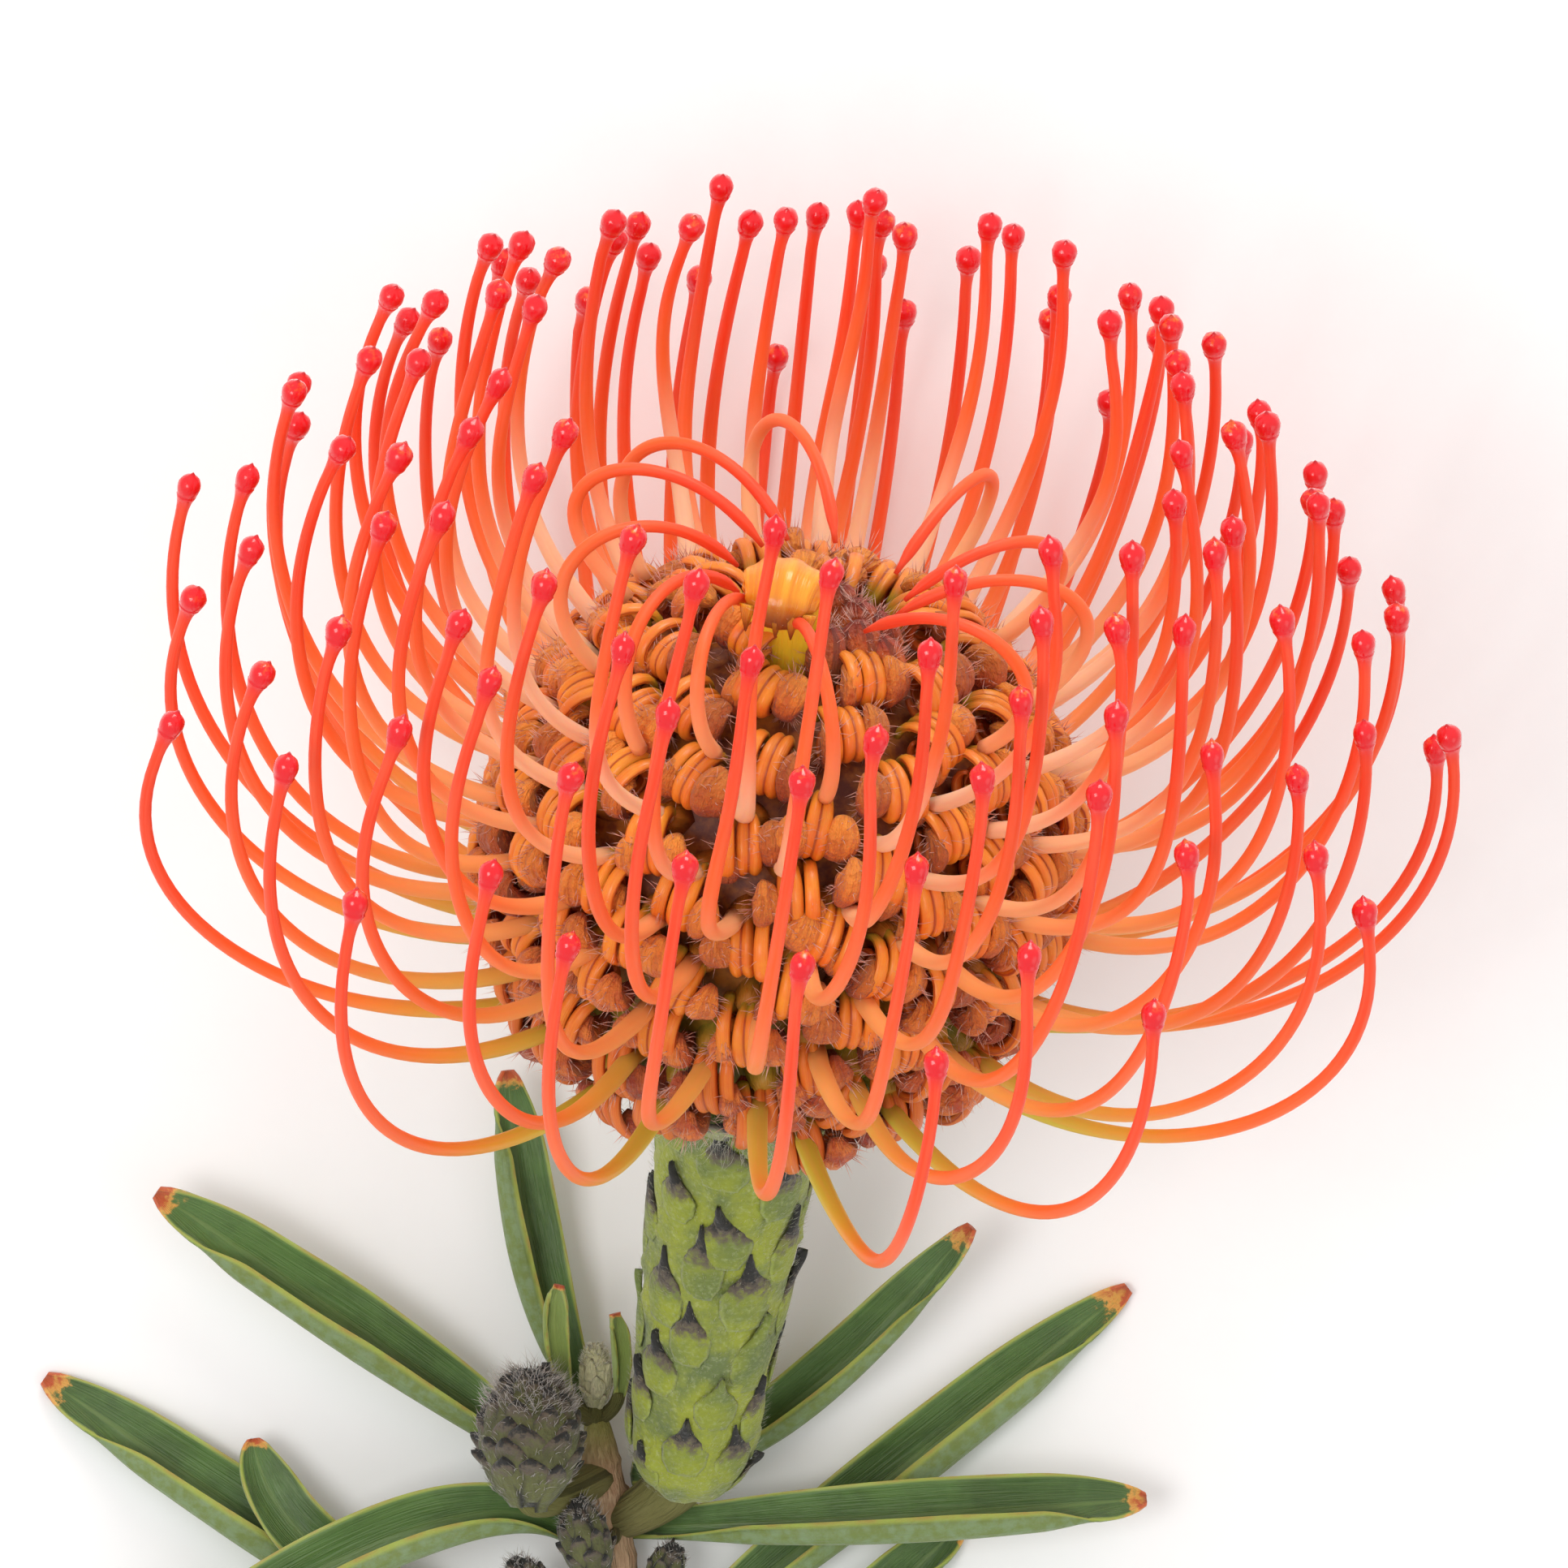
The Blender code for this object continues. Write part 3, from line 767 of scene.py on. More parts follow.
def base_finish():
    """Floor of the head and floret tubes: dark brown at the top, partly brown hair and partly painted shade
    for the gaps between the petals, yellow-green low down, amber at the tube ends.
    """
    shade = colours()
    finish = Finish("floret_base", roughness=0.5, subsurface=0.2, depth=1.0, tint=(0.9, 0.8, 0.1))
    tree = finish.tree
    green = mottled(tree, shade.floret_green, (0.22, 0.24, 0.02), 420.0)
    # The dark brown at the top is partly the brown hair in the gaps and partly painted shade there.
    brown = mottled(tree, (0.16, 0.030, 0.008), (0.42, 0.13, 0.012), 520.0)
    skin = blend(tree, ease(tree, mark(tree, "reach"), 0.55, 0.95), brown, green)
    skin = blend(tree, times(tree, ease(tree, mark(tree, "along"), 0.3, 1.0), 0.6), skin, (0.66, 0.24, 0.015))
    finish.set("Base Color", skin)
    finish.bump(streak_mask(tree, 30.0, 2.0), 0.08, 0.6)
    return finish.material


def gold_finish():
    """Translucent ribbed young floret: yellow at its root, gold above and brown at its claws."""
    shade = colours()
    finish = Finish("young_floret", roughness=0.28, subsurface=0.3, depth=1.5, tint=(1.0, 0.4, 0.05),
                    coat=0.3)
    tree = finish.tree
    along = mark(tree, "along")
    streaks = streak_mask(tree, 26.0, 2.0)
    skin = blend(tree, streaks, shade.gold, (0.95, 0.42, 0.02))
    skin = blend(tree, ease(tree, along, 0.34, 0.52), (0.95, 0.70, 0.04), skin)
    skin = blend(tree, ease(tree, along, 0.80, 0.97), skin, (0.28, 0.07, 0.015))
    finish.set("Base Color", skin)
    finish.bump(streaks, 0.12, 0.6)
    return finish.material


def leaf_finish(name, young=False):
    """Leathery blade: dark smooth face, grey-green velvety back, pale margin and a small hard tip."""
    shade = colours()
    finish = Finish(name, roughness=0.46, sheen=0.18, subsurface=0.10, depth=0.7, tint=(0.5, 1.0, 0.2))
    tree = finish.tree
    along = mark(tree, "along")
    back = mark(tree, "reach")
    edge = edge_mark(tree)
    lighter = [value * 1.75 for value in shade.leaf]
    face = mottled(tree, shade.leaf, lighter, 120.0)
    velvet = mottled(tree, shade.leaf_grey, (0.21, 0.29, 0.14), 900.0)
    skin = blend(tree, back, face, velvet)
    veins = streak_mask(tree, 34.0, 7.0)
    skin = blend(tree, times(tree, veins, 0.22), skin, (0.16, 0.24, 0.06))
    middle = ease(tree, edge, 0.12, 0.02)
    skin = blend(tree, times(tree, middle, 0.35), skin, (0.17, 0.25, 0.06))
    margin = ease(tree, edge, 0.90, 0.97)
    skin = blend(tree, times(tree, margin, 0.9), skin, shade.leaf_margin)
    if young:
        skin = blend(tree, 0.40, skin, (0.40, 0.46, 0.10))
    rust = streak_mask(tree, 1.0, 16.0)
    blush = times(tree, times(tree, rust, ease(tree, edge, 0.93, 0.99)), 0.55)
    skin = blend(tree, blush, skin, (0.40, 0.17, 0.06))
    end = ragged_end(tree, along, 1100.0, 0.022)
    skin = blend(tree, ease(tree, end, 0.960, 0.975), skin, (0.72, 0.36, 0.07))
    skin = blend(tree, ease(tree, end, 0.975, 0.992), skin, shade.callus)
    finish.set("Base Color", skin)
    finish.set("Roughness", maths(tree, "MULTIPLY_ADD", back, 0.30, 0.42))
    nap = velvet_height(tree, 5000.0)
    fuzzy = times(tree, nap, maths(tree, "MULTIPLY_ADD", back, 0.7, 0.15))
    finish.bump(maths(tree, "ADD", fuzzy, veins), 0.06, 0.7)
    return finish.material


def stalk_finish():
    """Velvety green in soft bright and grey patches, with pale specks."""
    shade = colours()
    finish = Finish("stalk_skin", roughness=0.72, sheen=0.25, subsurface=0.15, depth=1.2,
                    tint=(0.6, 1.0, 0.15))
    tree = finish.tree
    skin = mottled(tree, shade.stalk, shade.stalk_grey, 190.0, 0.46)
    speck = patch_mask(tree, 2400.0, 0.36)
    skin = blend(tree, times(tree, speck, 0.35), skin, (0.62, 0.66, 0.40))
    finish.set("Base Color", skin)
    finish.bump(velvet_height(tree, 4200.0), 0.14, 0.8)
    return finish.material


def scale_finish(name, body, second, dark_from, rim=False):
    """Pressed scales: green or dark at the root, purple-brown then charcoal at the hooked tip."""
    shade = colours()
    finish = Finish(name, roughness=0.72, specular=0.3, sheen=0.22, subsurface=0.08, depth=0.8,
                    tint=(0.6, 1.0, 0.2))
    tree = finish.tree
    along = mark(tree, "along")
    tone = mark(tree, "tone")
    edge = edge_mark(tree)
    patches = patch_mask(tree, 160.0, 0.48)
    varied = maths(tree, "MULTIPLY_ADD", patches, 0.75, times(tree, tone, 0.25))
    skin = blend(tree, varied, body, second)
    place = ragged_end(tree, along, 1300.0, 0.16)
    if rim:
        speck = patch_mask(tree, 2600.0, 0.40)
        skin = blend(tree, times(tree, speck, 0.30), skin, (0.50, 0.56, 0.30))
        pale = times(tree, ease(tree, edge, 0.80, 0.96), ease(tree, along, 0.60, 0.40))
        skin = blend(tree, times(tree, pale, 0.45), skin, (0.50, 0.58, 0.16))
        plain = ease(tree, tone, 0.86, 0.90)
        place = maths(tree, "SUBTRACT", place, times(tree, plain, 0.6))
    else:
        lines = streak_mask(tree, 14.0, 4.0)
        skin = blend(tree, times(tree, lines, 0.35), skin, shade.bud)
        outline = times(tree, ease(tree, edge, 0.45, 0.85), 0.0 if dark_from > 1.0 else 0.9)
        skin = blend(tree, outline, skin, shade.scale_tip)
    skin = blend(tree, ease(tree, place, dark_from - 0.24, dark_from), skin, (0.12, 0.095, 0.07))
    skin = blend(tree, ease(tree, place, dark_from - 0.04, dark_from + 0.12), skin, shade.scale_tip)
    finish.set("Base Color", skin)
    finish.bump(velvet_height(tree, 4600.0), 0.12, 0.8)
    return finish.material


def bark_finish():
    """Tan bark in fine lengthwise streaks, with a pale cut end."""
    shade = colours()
    finish = Finish("stem_bark", roughness=0.78, specular=0.3)
    tree = finish.tree
    streaks = streak_mask(tree, 34.0, 22.0)
    skin = blend(tree, streaks, shade.bark, (0.56, 0.38, 0.23))
    patch = patch_mask(tree, 210.0, 0.46)
    skin = blend(tree, times(tree, patch, 0.55), skin, shade.bark_red)
    fresh = ease(tree, mark(tree, "along"), 0.74, 1.0)
    skin = blend(tree, times(tree, fresh, 0.8), skin, (0.42, 0.42, 0.11))
    skin = blend(tree, ease(tree, mark(tree, "reach"), 0.4, 0.6), skin, (0.72, 0.66, 0.44))
    olive = times(tree, ease(tree, mark(tree, "tone"), 0.4, 0.55), 0.85)
    skin = blend(tree, olive, skin, (0.12, 0.12, 0.035))
    finish.set("Base Color", skin)
    finish.bump(streaks, 0.16, 0.9)
    return finish.material


def surface_finish():
    """Plain matt pale surface with a barely visible tooth."""
    finish = Finish("pale_surface", roughness=0.85, specular=0.2)
    tree = finish.tree
    shade = colours().surface
    skin = mottled(tree, shade, [value * 0.985 for value in shade], 60.0)
    finish.set("Base Color", skin)
    return finish.material


# ---------------------------------------------------------------- pieces

class Piece:
    """What every piece operator shares."""
    bl_options = {"REGISTER"}

    def execute(self, context):
        self.make()
        return {"FINISHED"}


def floret_axes(index):
    """Outward normal, the way down the dome and the sideways direction at a floret, each turned a little."""
    slope, turn = floret_place(index)
    chance = random.Random(5000 + index)
    normal = outward(turn) * math.sin(slope) + AXIS * math.cos(slope)
    down = outward(turn) * math.cos(slope) - AXIS * math.sin(slope)
    side = normal.cross(down)
    twist = chance.uniform(-0.30, 0.30)
    down = around(down, side, twist)
    lean = chance.uniform(-0.16, 0.16)
    side = normal.cross(down)
    normal = around(normal, side, lean)
    return normal, down, normal.cross(down).normalized()


def floor_radius():
    return sizes().dome_radius - FLOOR_DEPTH


def floret_reach(index):
    return index / (sizes().florets - 1)


def band_members(band, first=0):
    """The florets of one spiral band, from the head's top down."""
    count = sizes().florets
    edges = [first + round((count - first) * k / FLORET_BANDS) for k in range(FLORET_BANDS + 1)]
    return range(edges[band], edges[band + 1])


class PROTEA_OT_floret_floor(Piece, bpy.types.Operator):
    """The yellow-green floor of the head and the short tubes of the florets"""
    bl_idname = "protea.floret_floor"
    bl_label = "Floret floor"

    def make(self):
        material = base_finish()
        radius = floor_radius()
        shape = Shape()
        rings = []
        marks = []
        turns = 72
        rows = 46
        for row in range(rows):
            slope = math.radians(1.0 + 139.0 * row / (rows - 1))
            ring = []
            for k in range(turns):
                turn = 2.0 * math.pi * k / turns
                ripple = 0.35 * MM * math.sin(turn * 13 + row) * math.sin(row * 1.1)
                point = dome_point(slope, turn, radius + ripple)
                height = (point - HEAD_CENTRE).dot(AXIS)
                sideways = (point - HEAD_CENTRE) - AXIS * height
                neck = smooth(-6.0 * MM, -15.0 * MM, height) * 0.30
                ring.append(HEAD_CENTRE + AXIS * height + sideways * (1.0 - neck))
            rings.append(ring)
            marks.append([(0.0, k / turns, 0.3, row / (rows - 1)) for k in range(turns)])
        shape.skin(rings, marks)
        shape.build("floret_floor", material, ["flower_head"], "floret_petals")
        tubes = Shape()
        for index in range(CLOSED_FLORETS, sizes().florets):
            normal, _, side = floret_axes(index)
            slope, turn = floret_place(index)
            path = [dome_point(slope, turn, radius - 1.0 * MM) + normal * 0.75 * MM * k for k in range(5)]
            radii = [1.75 * MM, 1.65 * MM, 1.50 * MM, 1.30 * MM, 0.90 * MM]
            tubes.tube(path, radii, 12, lobes=[(4, 0.07)] * 5, tone=(index * 0.37) % 1.0,
                       reach=floret_reach(index), start=side)
        tubes.build("floret_tubes", material, (), "floret_petals")


def coil_path(index, chance, samples, sideways, swell=1.0):
    """Route of a petal ribbon that folds over and coils, with the outward direction at each point."""
    normal, down, side = floret_axes(index)
    slope, turn = floret_place(index)
    reach = floret_reach(index)
    base = dome_point(slope, turn, floor_radius()) + side * sideways
    turned = math.radians(380.0 - 150.0 * smooth(0.55, 1.0, reach) + chance.uniform(-60.0, 40.0))
    large = (2.35 + chance.uniform(-0.35, 0.30)) * MM * swell
    small = (1.00 + 0.9 * smooth(0.6, 1.0, reach)) * MM * swell
    droop = 1.22 + 0.30 * smooth(0.6, 1.0, reach)
    centre = base + down * 2.1 * MM * droop + normal * (2.2 + chance.uniform(-0.5, 0.5)) * MM
    path = []
    away = []
    for k in range(samples):
        share = k / (samples - 1)
        angle = math.radians(205.0) - turned * share
        radius = large + (small - large) * share
        out = around(down, normal, angle)
        path.append(centre + down * radius * droop * math.cos(angle) + normal * radius * math.sin(angle))
        away.append(out)
    return path, away, side


def make_ribbon(shape, index, chance):
    """A petal ribbon with two broad ribs, coiled outwards below its style."""
    path, away, side = coil_path(index, chance, 30, 0.0)
    width = sizes().ribbon_width
    tone = chance.random()
    outer = 16
    inner = 6
    rings = []
    marks = []
    for row, (place, out) in enumerate(zip(path, away)):
        along = row / (len(path) - 1)
        half = 0.5 * width * (0.72 + 0.28 * smooth(0.0, 0.3, along)) * (1.0 - 0.25 * smooth(0.75, 1.0, along))
        ring = []
        ring_marks = []
        for k in range(outer):
            across = k / (outer - 1)
            rib = abs(math.sin(2.0 * math.pi * across)) ** 0.8
            curl = -0.45 * (2.0 * across - 1.0) ** 4
            lift = (0.10 + 0.34 * rib + curl) * MM
            ring.append(place + side * half * (2.0 * across - 1.0) + out * lift)
            ring_marks.append((along, across, tone, floret_reach(index)))
        for k in range(inner):
            across = 1.0 - (k + 1) / (inner + 1)
            ring.append(place + side * half * 0.92 * (2.0 * across - 1.0) - out * 0.16 * MM)
            ring_marks.append((along, across, tone, floret_reach(index)))
        rings.append(ring)
        marks.append(ring_marks)
    shape.skin(rings, marks)


def make_lone_petal(shape, index, chance, hand):
    """The narrow fourth petal, rolled back beside the ribbon."""
    offset = hand * (0.5 * sizes().ribbon_width + 0.62 * MM)
    path, _, side = coil_path(index, chance, 22, offset, 1.06)
    last = len(path) - 1
    radii = [(0.52 + 0.16 * math.sin(math.pi * k / last)) * MM * (1.0 - 0.45 * smooth(0.8, 1.0, k / last))
             for k in range(last + 1)]
    shape.tube(path, radii, 9, flat=[0.62] * (last + 1), tone=0.4 + 0.6 * chance.random(),
               reach=floret_reach(index), start=side)


class PROTEA_OT_ribbons(Piece, bpy.types.Operator):
    """The rolled-back orange petals that cover the dome"""
    bl_idname = "protea.ribbons"
    bl_label = "Petal ribbons"

    def make(self):
        material = ribbon_finish()
        for band in range(FLORET_BANDS):
            shape = Shape()
            for index in band_members(band, UNOPENED_FLORETS):
                chance = random.Random(1000 + index)
                hand = -1.0 if chance.random() < 0.7 else 1.0
                make_ribbon(shape, index, chance)
                make_lone_petal(shape, index, chance, hand)
            shape.build(f"petal_ribbons_{band + 1}", material, (), "floret_petals")


class PROTEA_OT_petal_ends(Piece, bpy.types.Operator):
    """The hairy red-brown ends of the petals, with their hairs"""
    bl_idname = "protea.petal_ends"
    bl_label = "Petal ends"

    def make(self):
        shade = colours()
        skin = limb_finish()
        fur = hair_finish("petal_hair", shade.limb, shade.hair)
        for band in range(FLORET_BANDS):
            shape = Shape()
            hairs = Shape()
            for index in band_members(band, UNOPENED_FLORETS):
                chance = random.Random(1000 + index)
                hand = 1.0 if chance.random() < 0.7 else -1.0
                self.make_end(shape, hairs, index, chance, hand, 1.0)
                self.make_end(shape, hairs, index, chance, -hand, chance.uniform(0.70, 0.90))
            shape.build(f"petal_ends_{band + 1}", skin, (), "floret_petals")
            hairs.build(f"petal_hairs_{band + 1}", fur, (), "floret_petals")

    def make_end(self, shape, hairs, index, chance, hand, scale):
        normal, down, side = floret_axes(index)
        slope, turn = floret_place(index)
        size = sizes().limb_radius * chance.uniform(0.95, 1.25) * scale
        base = dome_point(slope, turn, floor_radius())
        beside = side * hand * (0.5 * sizes().ribbon_width + 0.62 * size)
        base += beside + down * chance.uniform(0.0, 1.2) * MM
        sunk = normal * (chance.uniform(-0.5, 0.5) + 2.6 * (scale - 1.0)) * MM
        base += sunk + down * 5.0 * (1.0 - scale) * MM
        guides = [base + normal * 3.0 * MM + down * 0.3 * MM, base + normal * 5.0 * MM + down * 1.3 * MM,
                  base + normal * 2.6 * MM + down * 4.2 * MM, base + normal * 0.4 * MM + down * 2.2 * MM]
        samples = 11
        path = curve(guides, samples)
        radii = [size * max(0.12, math.sin(math.pi * (0.06 + 0.90 * k / (samples - 1)))) ** 0.7
                 for k in range(samples)]
        tone = chance.random()
        reach = floret_reach(index)
        shape.tube(path, radii, 18, lobes=[(2 + index % 2, 0.17)] * samples, tone=tone, reach=reach,
                   start=side)
        middle = path[samples // 2]
        for _ in range(END_HAIRS):
            row = chance.randrange(1, samples - 1)
            angle = any_turn(chance)
            away = around(side, normal, angle).normalized()
            root = path[row] + away * radii[row] * 0.92
            heading = away + down * chance.uniform(-0.4, 0.9) + (root - middle).normalized() * 0.4
            bend = (normal * 0.4 + down * chance.uniform(-0.5, 0.5)) * 0.6
            hairs.hair(root, heading, sizes().hair_length * chance.uniform(0.60, 1.35), 0.046 * MM, bend,
                       chance.random(), reach)


# Distance past the end of the curve and radius (mm) from the narrow neck to the point of a tip
KNOB_PROFILE = (
    (-2.9, 0.50), (-2.1, 0.50), (-1.4, 0.54), (-0.85, 0.61), (-0.42, 0.70), (-0.14, 0.79), (0.02, 0.84),
    (0.11, 0.81), (0.30, 0.87), (0.60, 0.94), (0.95, 0.97), (1.28, 0.92), (1.54, 0.80), (1.76, 0.60),
    (1.92, 0.38), (2.02, 0.25), (2.16, 0.15), (2.30, 0.04),
)


def measured_route(guides):
    """Points along a curve with their distance from its start."""
    points = curve(guides, ROUTE_STEPS + 1)
    distances = [0.0]
    for before, after in zip(points, points[1:]):
        distances.append(distances[-1] + (after - before).length)
    return points, distances


def at_distance(route, distance):
    points, distances = route
    k = min(len(points) - 2, max(0, bisect.bisect_right(distances, distance) - 1))
    share = (distance - distances[k]) / (distances[k + 1] - distances[k])
    return points[k].lerp(points[k + 1], share)


def make_style_shape(index):
    """An open style: waxy shaft with a swollen, creased tip that ends in a small point."""
    guides = open_style_curve(index, random.Random(index))
    chance = random.Random(3000 + index)
    route = measured_route(guides)
    length = route[1][-1]
    heading = (guides[3] - guides[2]).normalized()
    sideways = heading.cross(guides[1] - guides[0]).normalized()
    sway = chance.uniform(-0.8, 0.8) * MM
    wave = chance.uniform(-0.5, 0.5) * MM
    first = (guides[1] - guides[0]).normalized()
    stop = length + KNOB_PROFILE[0][0] * MM
    path = [guides[0] - first * 2.6 * MM]
    radii = [sizes().style_root_radius * 1.04]
    flat = [0.80]
    along = [0.0]
    for k in range(SHAFT_RINGS):
        share = k / SHAFT_RINGS
        drift = sideways * (sway * math.sin(math.pi * share) + wave * math.sin(2.0 * math.pi * share))
        path.append(at_distance(route, stop * share) + drift)
        radii.append(profile(((0.0, sizes().style_root_radius), (0.35, sizes().style_radius * 1.08),
                              (0.75, sizes().style_radius * 0.92), (1.0, 0.50 * MM)), share))
        flat.append(0.80 + 0.18 * smooth(0.0, 0.7, share))
        along.append(0.02 + (KNOB_START - 0.02) * share)
    twist = chance.uniform(-0.16, 0.16)
    leaning = (heading + sideways * twist).normalized()
    lobes = [(1, 0.0)] * len(path)
    size = chance.uniform(1.02, 1.16)
    for k, (offset, width) in enumerate(KNOB_PROFILE):
        if offset < 0.0:
            path.append(at_distance(route, length + offset * MM))
        else:
            path.append(guides[3] + leaning * offset * MM)
        radii.append(width * MM * (1.0 + (size - 1.0) * smooth(-0.85, 0.1, offset)))
        flat.append(0.98)
        along.append(KNOB_START + (1.0 - KNOB_START) * k / (len(KNOB_PROFILE) - 1))
        lobes.append((5, 0.045 * smooth(0.7, 1.6, offset)))
    path = [rest_on_floor(place, radius) for place, radius in zip(path, radii)]
    shape = Shape()
    shape.tube(path, radii, SHAFT_SIDES, flat, lobes, chance.random(), floret_reach(index), sideways)
    for row, value in enumerate(along):
        for place in range(row * SHAFT_SIDES, (row + 1) * SHAFT_SIDES):
            shape.marks[place] = (value, *shape.marks[place][1:])
    shape.marks[-1] = (1.0, *shape.marks[-1][1:])
    return shape


def packed_style_indices():
    """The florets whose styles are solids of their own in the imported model, in their order."""
    count = sizes().florets
    first_of_ring = count - RING_STYLES
    spread = (first_of_ring - CLOSED_FLORETS) / INNER_STYLES
    indices = list(range(first_of_ring, count))
    return indices + [CLOSED_FLORETS + round(spread * (k + 0.5)) for k in range(INNER_STYLES)]


class PROTEA_OT_open_styles(Piece, bpy.types.Operator):
    """The long pin-shaped styles: one piece for each solid, the others in groups from the top down"""
    bl_idname = "protea.open_styles"
    bl_label = "Open styles"

    def make(self):
        material = style_finish()
        packed = packed_style_indices()
        groups = [Shape() for _ in range(STYLE_GROUPS)]
        extras = [index for index in range(CLOSED_FLORETS, sizes().florets) if index not in packed]
        for index in range(CLOSED_FLORETS, sizes().florets):
            shape = make_style_shape(index)
            if index in packed:
                name = f"style_{packed.index(index) + 1:02d}"
                self.check_place(shape, name)
                shape.build(f"pin_{name}", material, [name], "style")
            else:
                groups[extras.index(index) * STYLE_GROUPS // len(extras)].join(shape)
        for number, group in enumerate(groups, 1):
            group.build(f"pin_group_{number}", material, (), "style")

    def check_place(self, shape, name):
        """Stop if a style wouldn't lie where its solid does."""
        _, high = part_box(name)
        for axis in range(3):
            reach = max(point[axis] for point in shape.points)
            if abs(reach - high[axis]) > 5.0 * MM:
                raise RuntimeError(f"{name} doesn't lie where its solid does")


# Radius (mm) along a style that is still looped over
LOOP_PROFILE = ((0.0, 0.68), (0.3, 0.60), (0.8, 0.50), (0.93, 0.54), (1.0, 0.20))


class PROTEA_OT_closed_styles(Piece, bpy.types.Operator):
    """The styles at the top that are still looped over"""
    bl_idname = "protea.closed_styles"
    bl_label = "Closed styles"

    def make(self):
        material = style_finish()
        packed = [round(k * LOOPED_FLORETS / 4) for k in range(4)]
        number = len(packed)
        samples = 40
        for index in range(LOOPED_FLORETS):
            guides = closed_style_curve(index)
            path = curve(guides, samples)
            thick = [profile(LOOP_PROFILE, k / (samples - 1)) * MM for k in range(samples)]
            shape = Shape()
            shape.tube(path, thick, 12, tone=(index * 0.31) % 1.0, reach=0.45, span=(0.10, 0.86))
            if index in packed:
                name = f"closed_style_{packed.index(index) + 1}"
                shape.build(f"looped_style_{packed.index(index) + 1}", material, [name], "style")
            else:
                number += 1
                shape.build(f"looped_style_{number}", material, (), "style")


# Hairy petal ends round the young floret: distance sideways and to the front, and size (mm)
YOUNG_NEIGHBOURS = (
    (1.4, 6.2, 1.5), (4.6, 4.6, 1.7), (4.2, 1.4, 1.5), (6.6, 2.2, 1.4), (-6.0, 4.2, 1.5), (-5.0, 0.6, 1.6),
    (1.8, -1.0, 1.6), (7.2, 5.4, 1.5),
)
# Their route: rise (mm) and drift, and their girth along it; then the radius (mm) along the floret itself
NEIGHBOUR_ROUTE = ((0.0, 0.0), (1.5, 0.01 * MM), (3.0, 0.02 * MM), (4.4, -0.03 * MM), (5.2, -0.10 * MM))
NEIGHBOUR_GIRTH = (0.9, 1.15, 1.2, 0.95, 0.35)
YOUNG_PROFILE = ((0.0, 3.0), (0.35, 2.8), (0.62, 3.5), (0.85, 2.9), (1.0, 1.5))


class PROTEA_OT_young_floret(Piece, bpy.types.Operator):
    """The pale gold floret tube that still stands at the head's middle"""
    bl_idname = "protea.young_floret"
    bl_label = "Young floret"

    def make(self):
        turn = math.radians(118.0)
        slope = math.radians(13.0)
        root = dome_point(slope, turn, floor_radius())
        normal = (outward(turn) * 0.10 + AXIS).normalized()
        forward = (FRONT - SIDE * 0.1 - AXIS * 0.1).normalized()
        side = normal.cross(forward).normalized()
        guides = [
            root,
            root + normal * 5.5 * MM,
            root + normal * 11.2 * MM - forward * 0.4 * MM,
            root + normal * 11.0 * MM + forward * 4.0 * MM,
            root + normal * 7.6 * MM + forward * 4.4 * MM,
        ]
        samples = 30
        path = curve(guides, samples)
        radii = [profile(YOUNG_PROFILE, k / (samples - 1)) * MM for k in range(samples)]
        flat = [0.62 + 0.10 * k / (samples - 1) for k in range(samples)]
        shape = Shape()
        shape.tube(path, radii, 40, flat, [(9, 0.045)] * samples, 0.5, 0.2, side)
        tip = path[-1]
        for k in range(5):
            offset = side * (k - 2) * 1.25 * MM
            start = tip + offset + normal * 1.5 * MM + forward * (0.3 - 0.12 * abs(k - 2)) * MM
            claw = [start, start + forward * 0.7 * MM - normal * 1.0 * MM,
                    start + forward * 0.3 * MM - normal * 2.5 * MM]
            route = curve(claw, 8)
            girth = [0.72 * MM * (1.0 - 0.9 * m / 7) for m in range(8)]
            shape.tube(route, girth, 8, tone=0.5, span=(0.78, 1.0))
        shape.build("young_floret", gold_finish(), (), "floret_petals")
        chance = random.Random(77)
        neighbours = Shape()
        beards = Shape()
        for sideways, ahead, size in YOUNG_NEIGHBOURS:
            spread = math.hypot(sideways, ahead) * MM
            place = dome_point(math.asin(spread / sizes().dome_radius), math.atan2(ahead, sideways),
                               floor_radius())
            route = [place + AXIS * rise * MM + (SIDE * sideways + FRONT * ahead) * drift
                     for rise, drift in NEIGHBOUR_ROUTE]
            girth = [size * share * MM for share in NEIGHBOUR_GIRTH]
            neighbours.tube(route, girth, 18, lobes=[(2, 0.14)] * 5, tone=chance.uniform(0.6, 1.0), reach=0.2)
            for _ in range(NEIGHBOUR_HAIRS):
                turned = any_turn(chance)
                row = chance.randrange(1, 5)
                away = outward(turned)
                beards.hair(route[row] + away * girth[row] * 0.9, away + AXIS * chance.uniform(0.2, 1.0),
                            chance.uniform(0.6, 1.5) * MM, 0.042 * MM, AXIS * 0.3, chance.random(), 0.2)
        neighbours.build("young_petal_ends", limb_finish(), (), "floret_petals")
        fur = hair_finish("young_petal_hair", colours().limb, colours().hair)
        beards.build("young_petal_hairs", fur, (), "floret_petals")
        fluff = Shape()
        for _ in range(YOUNG_HAIRS):
            row = chance.randrange(2, samples - 2)
            angle = any_turn(chance)
            away = around(side, forward, angle)
            fluff.hair(path[row] + away * radii[row] * 0.8, away + normal * 0.4,
                       chance.uniform(0.4, 0.9) * MM, 0.018 * MM, normal * 0.3, chance.random(), 0.0)
        fur = hair_finish("gold_hair", colours().gold, (0.9, 0.8, 0.5))
        fluff.build("young_floret_hair", fur, (), "floret_petals")


# ---------------------------------------------------------------- scales, stalk, stem, leaves and buds

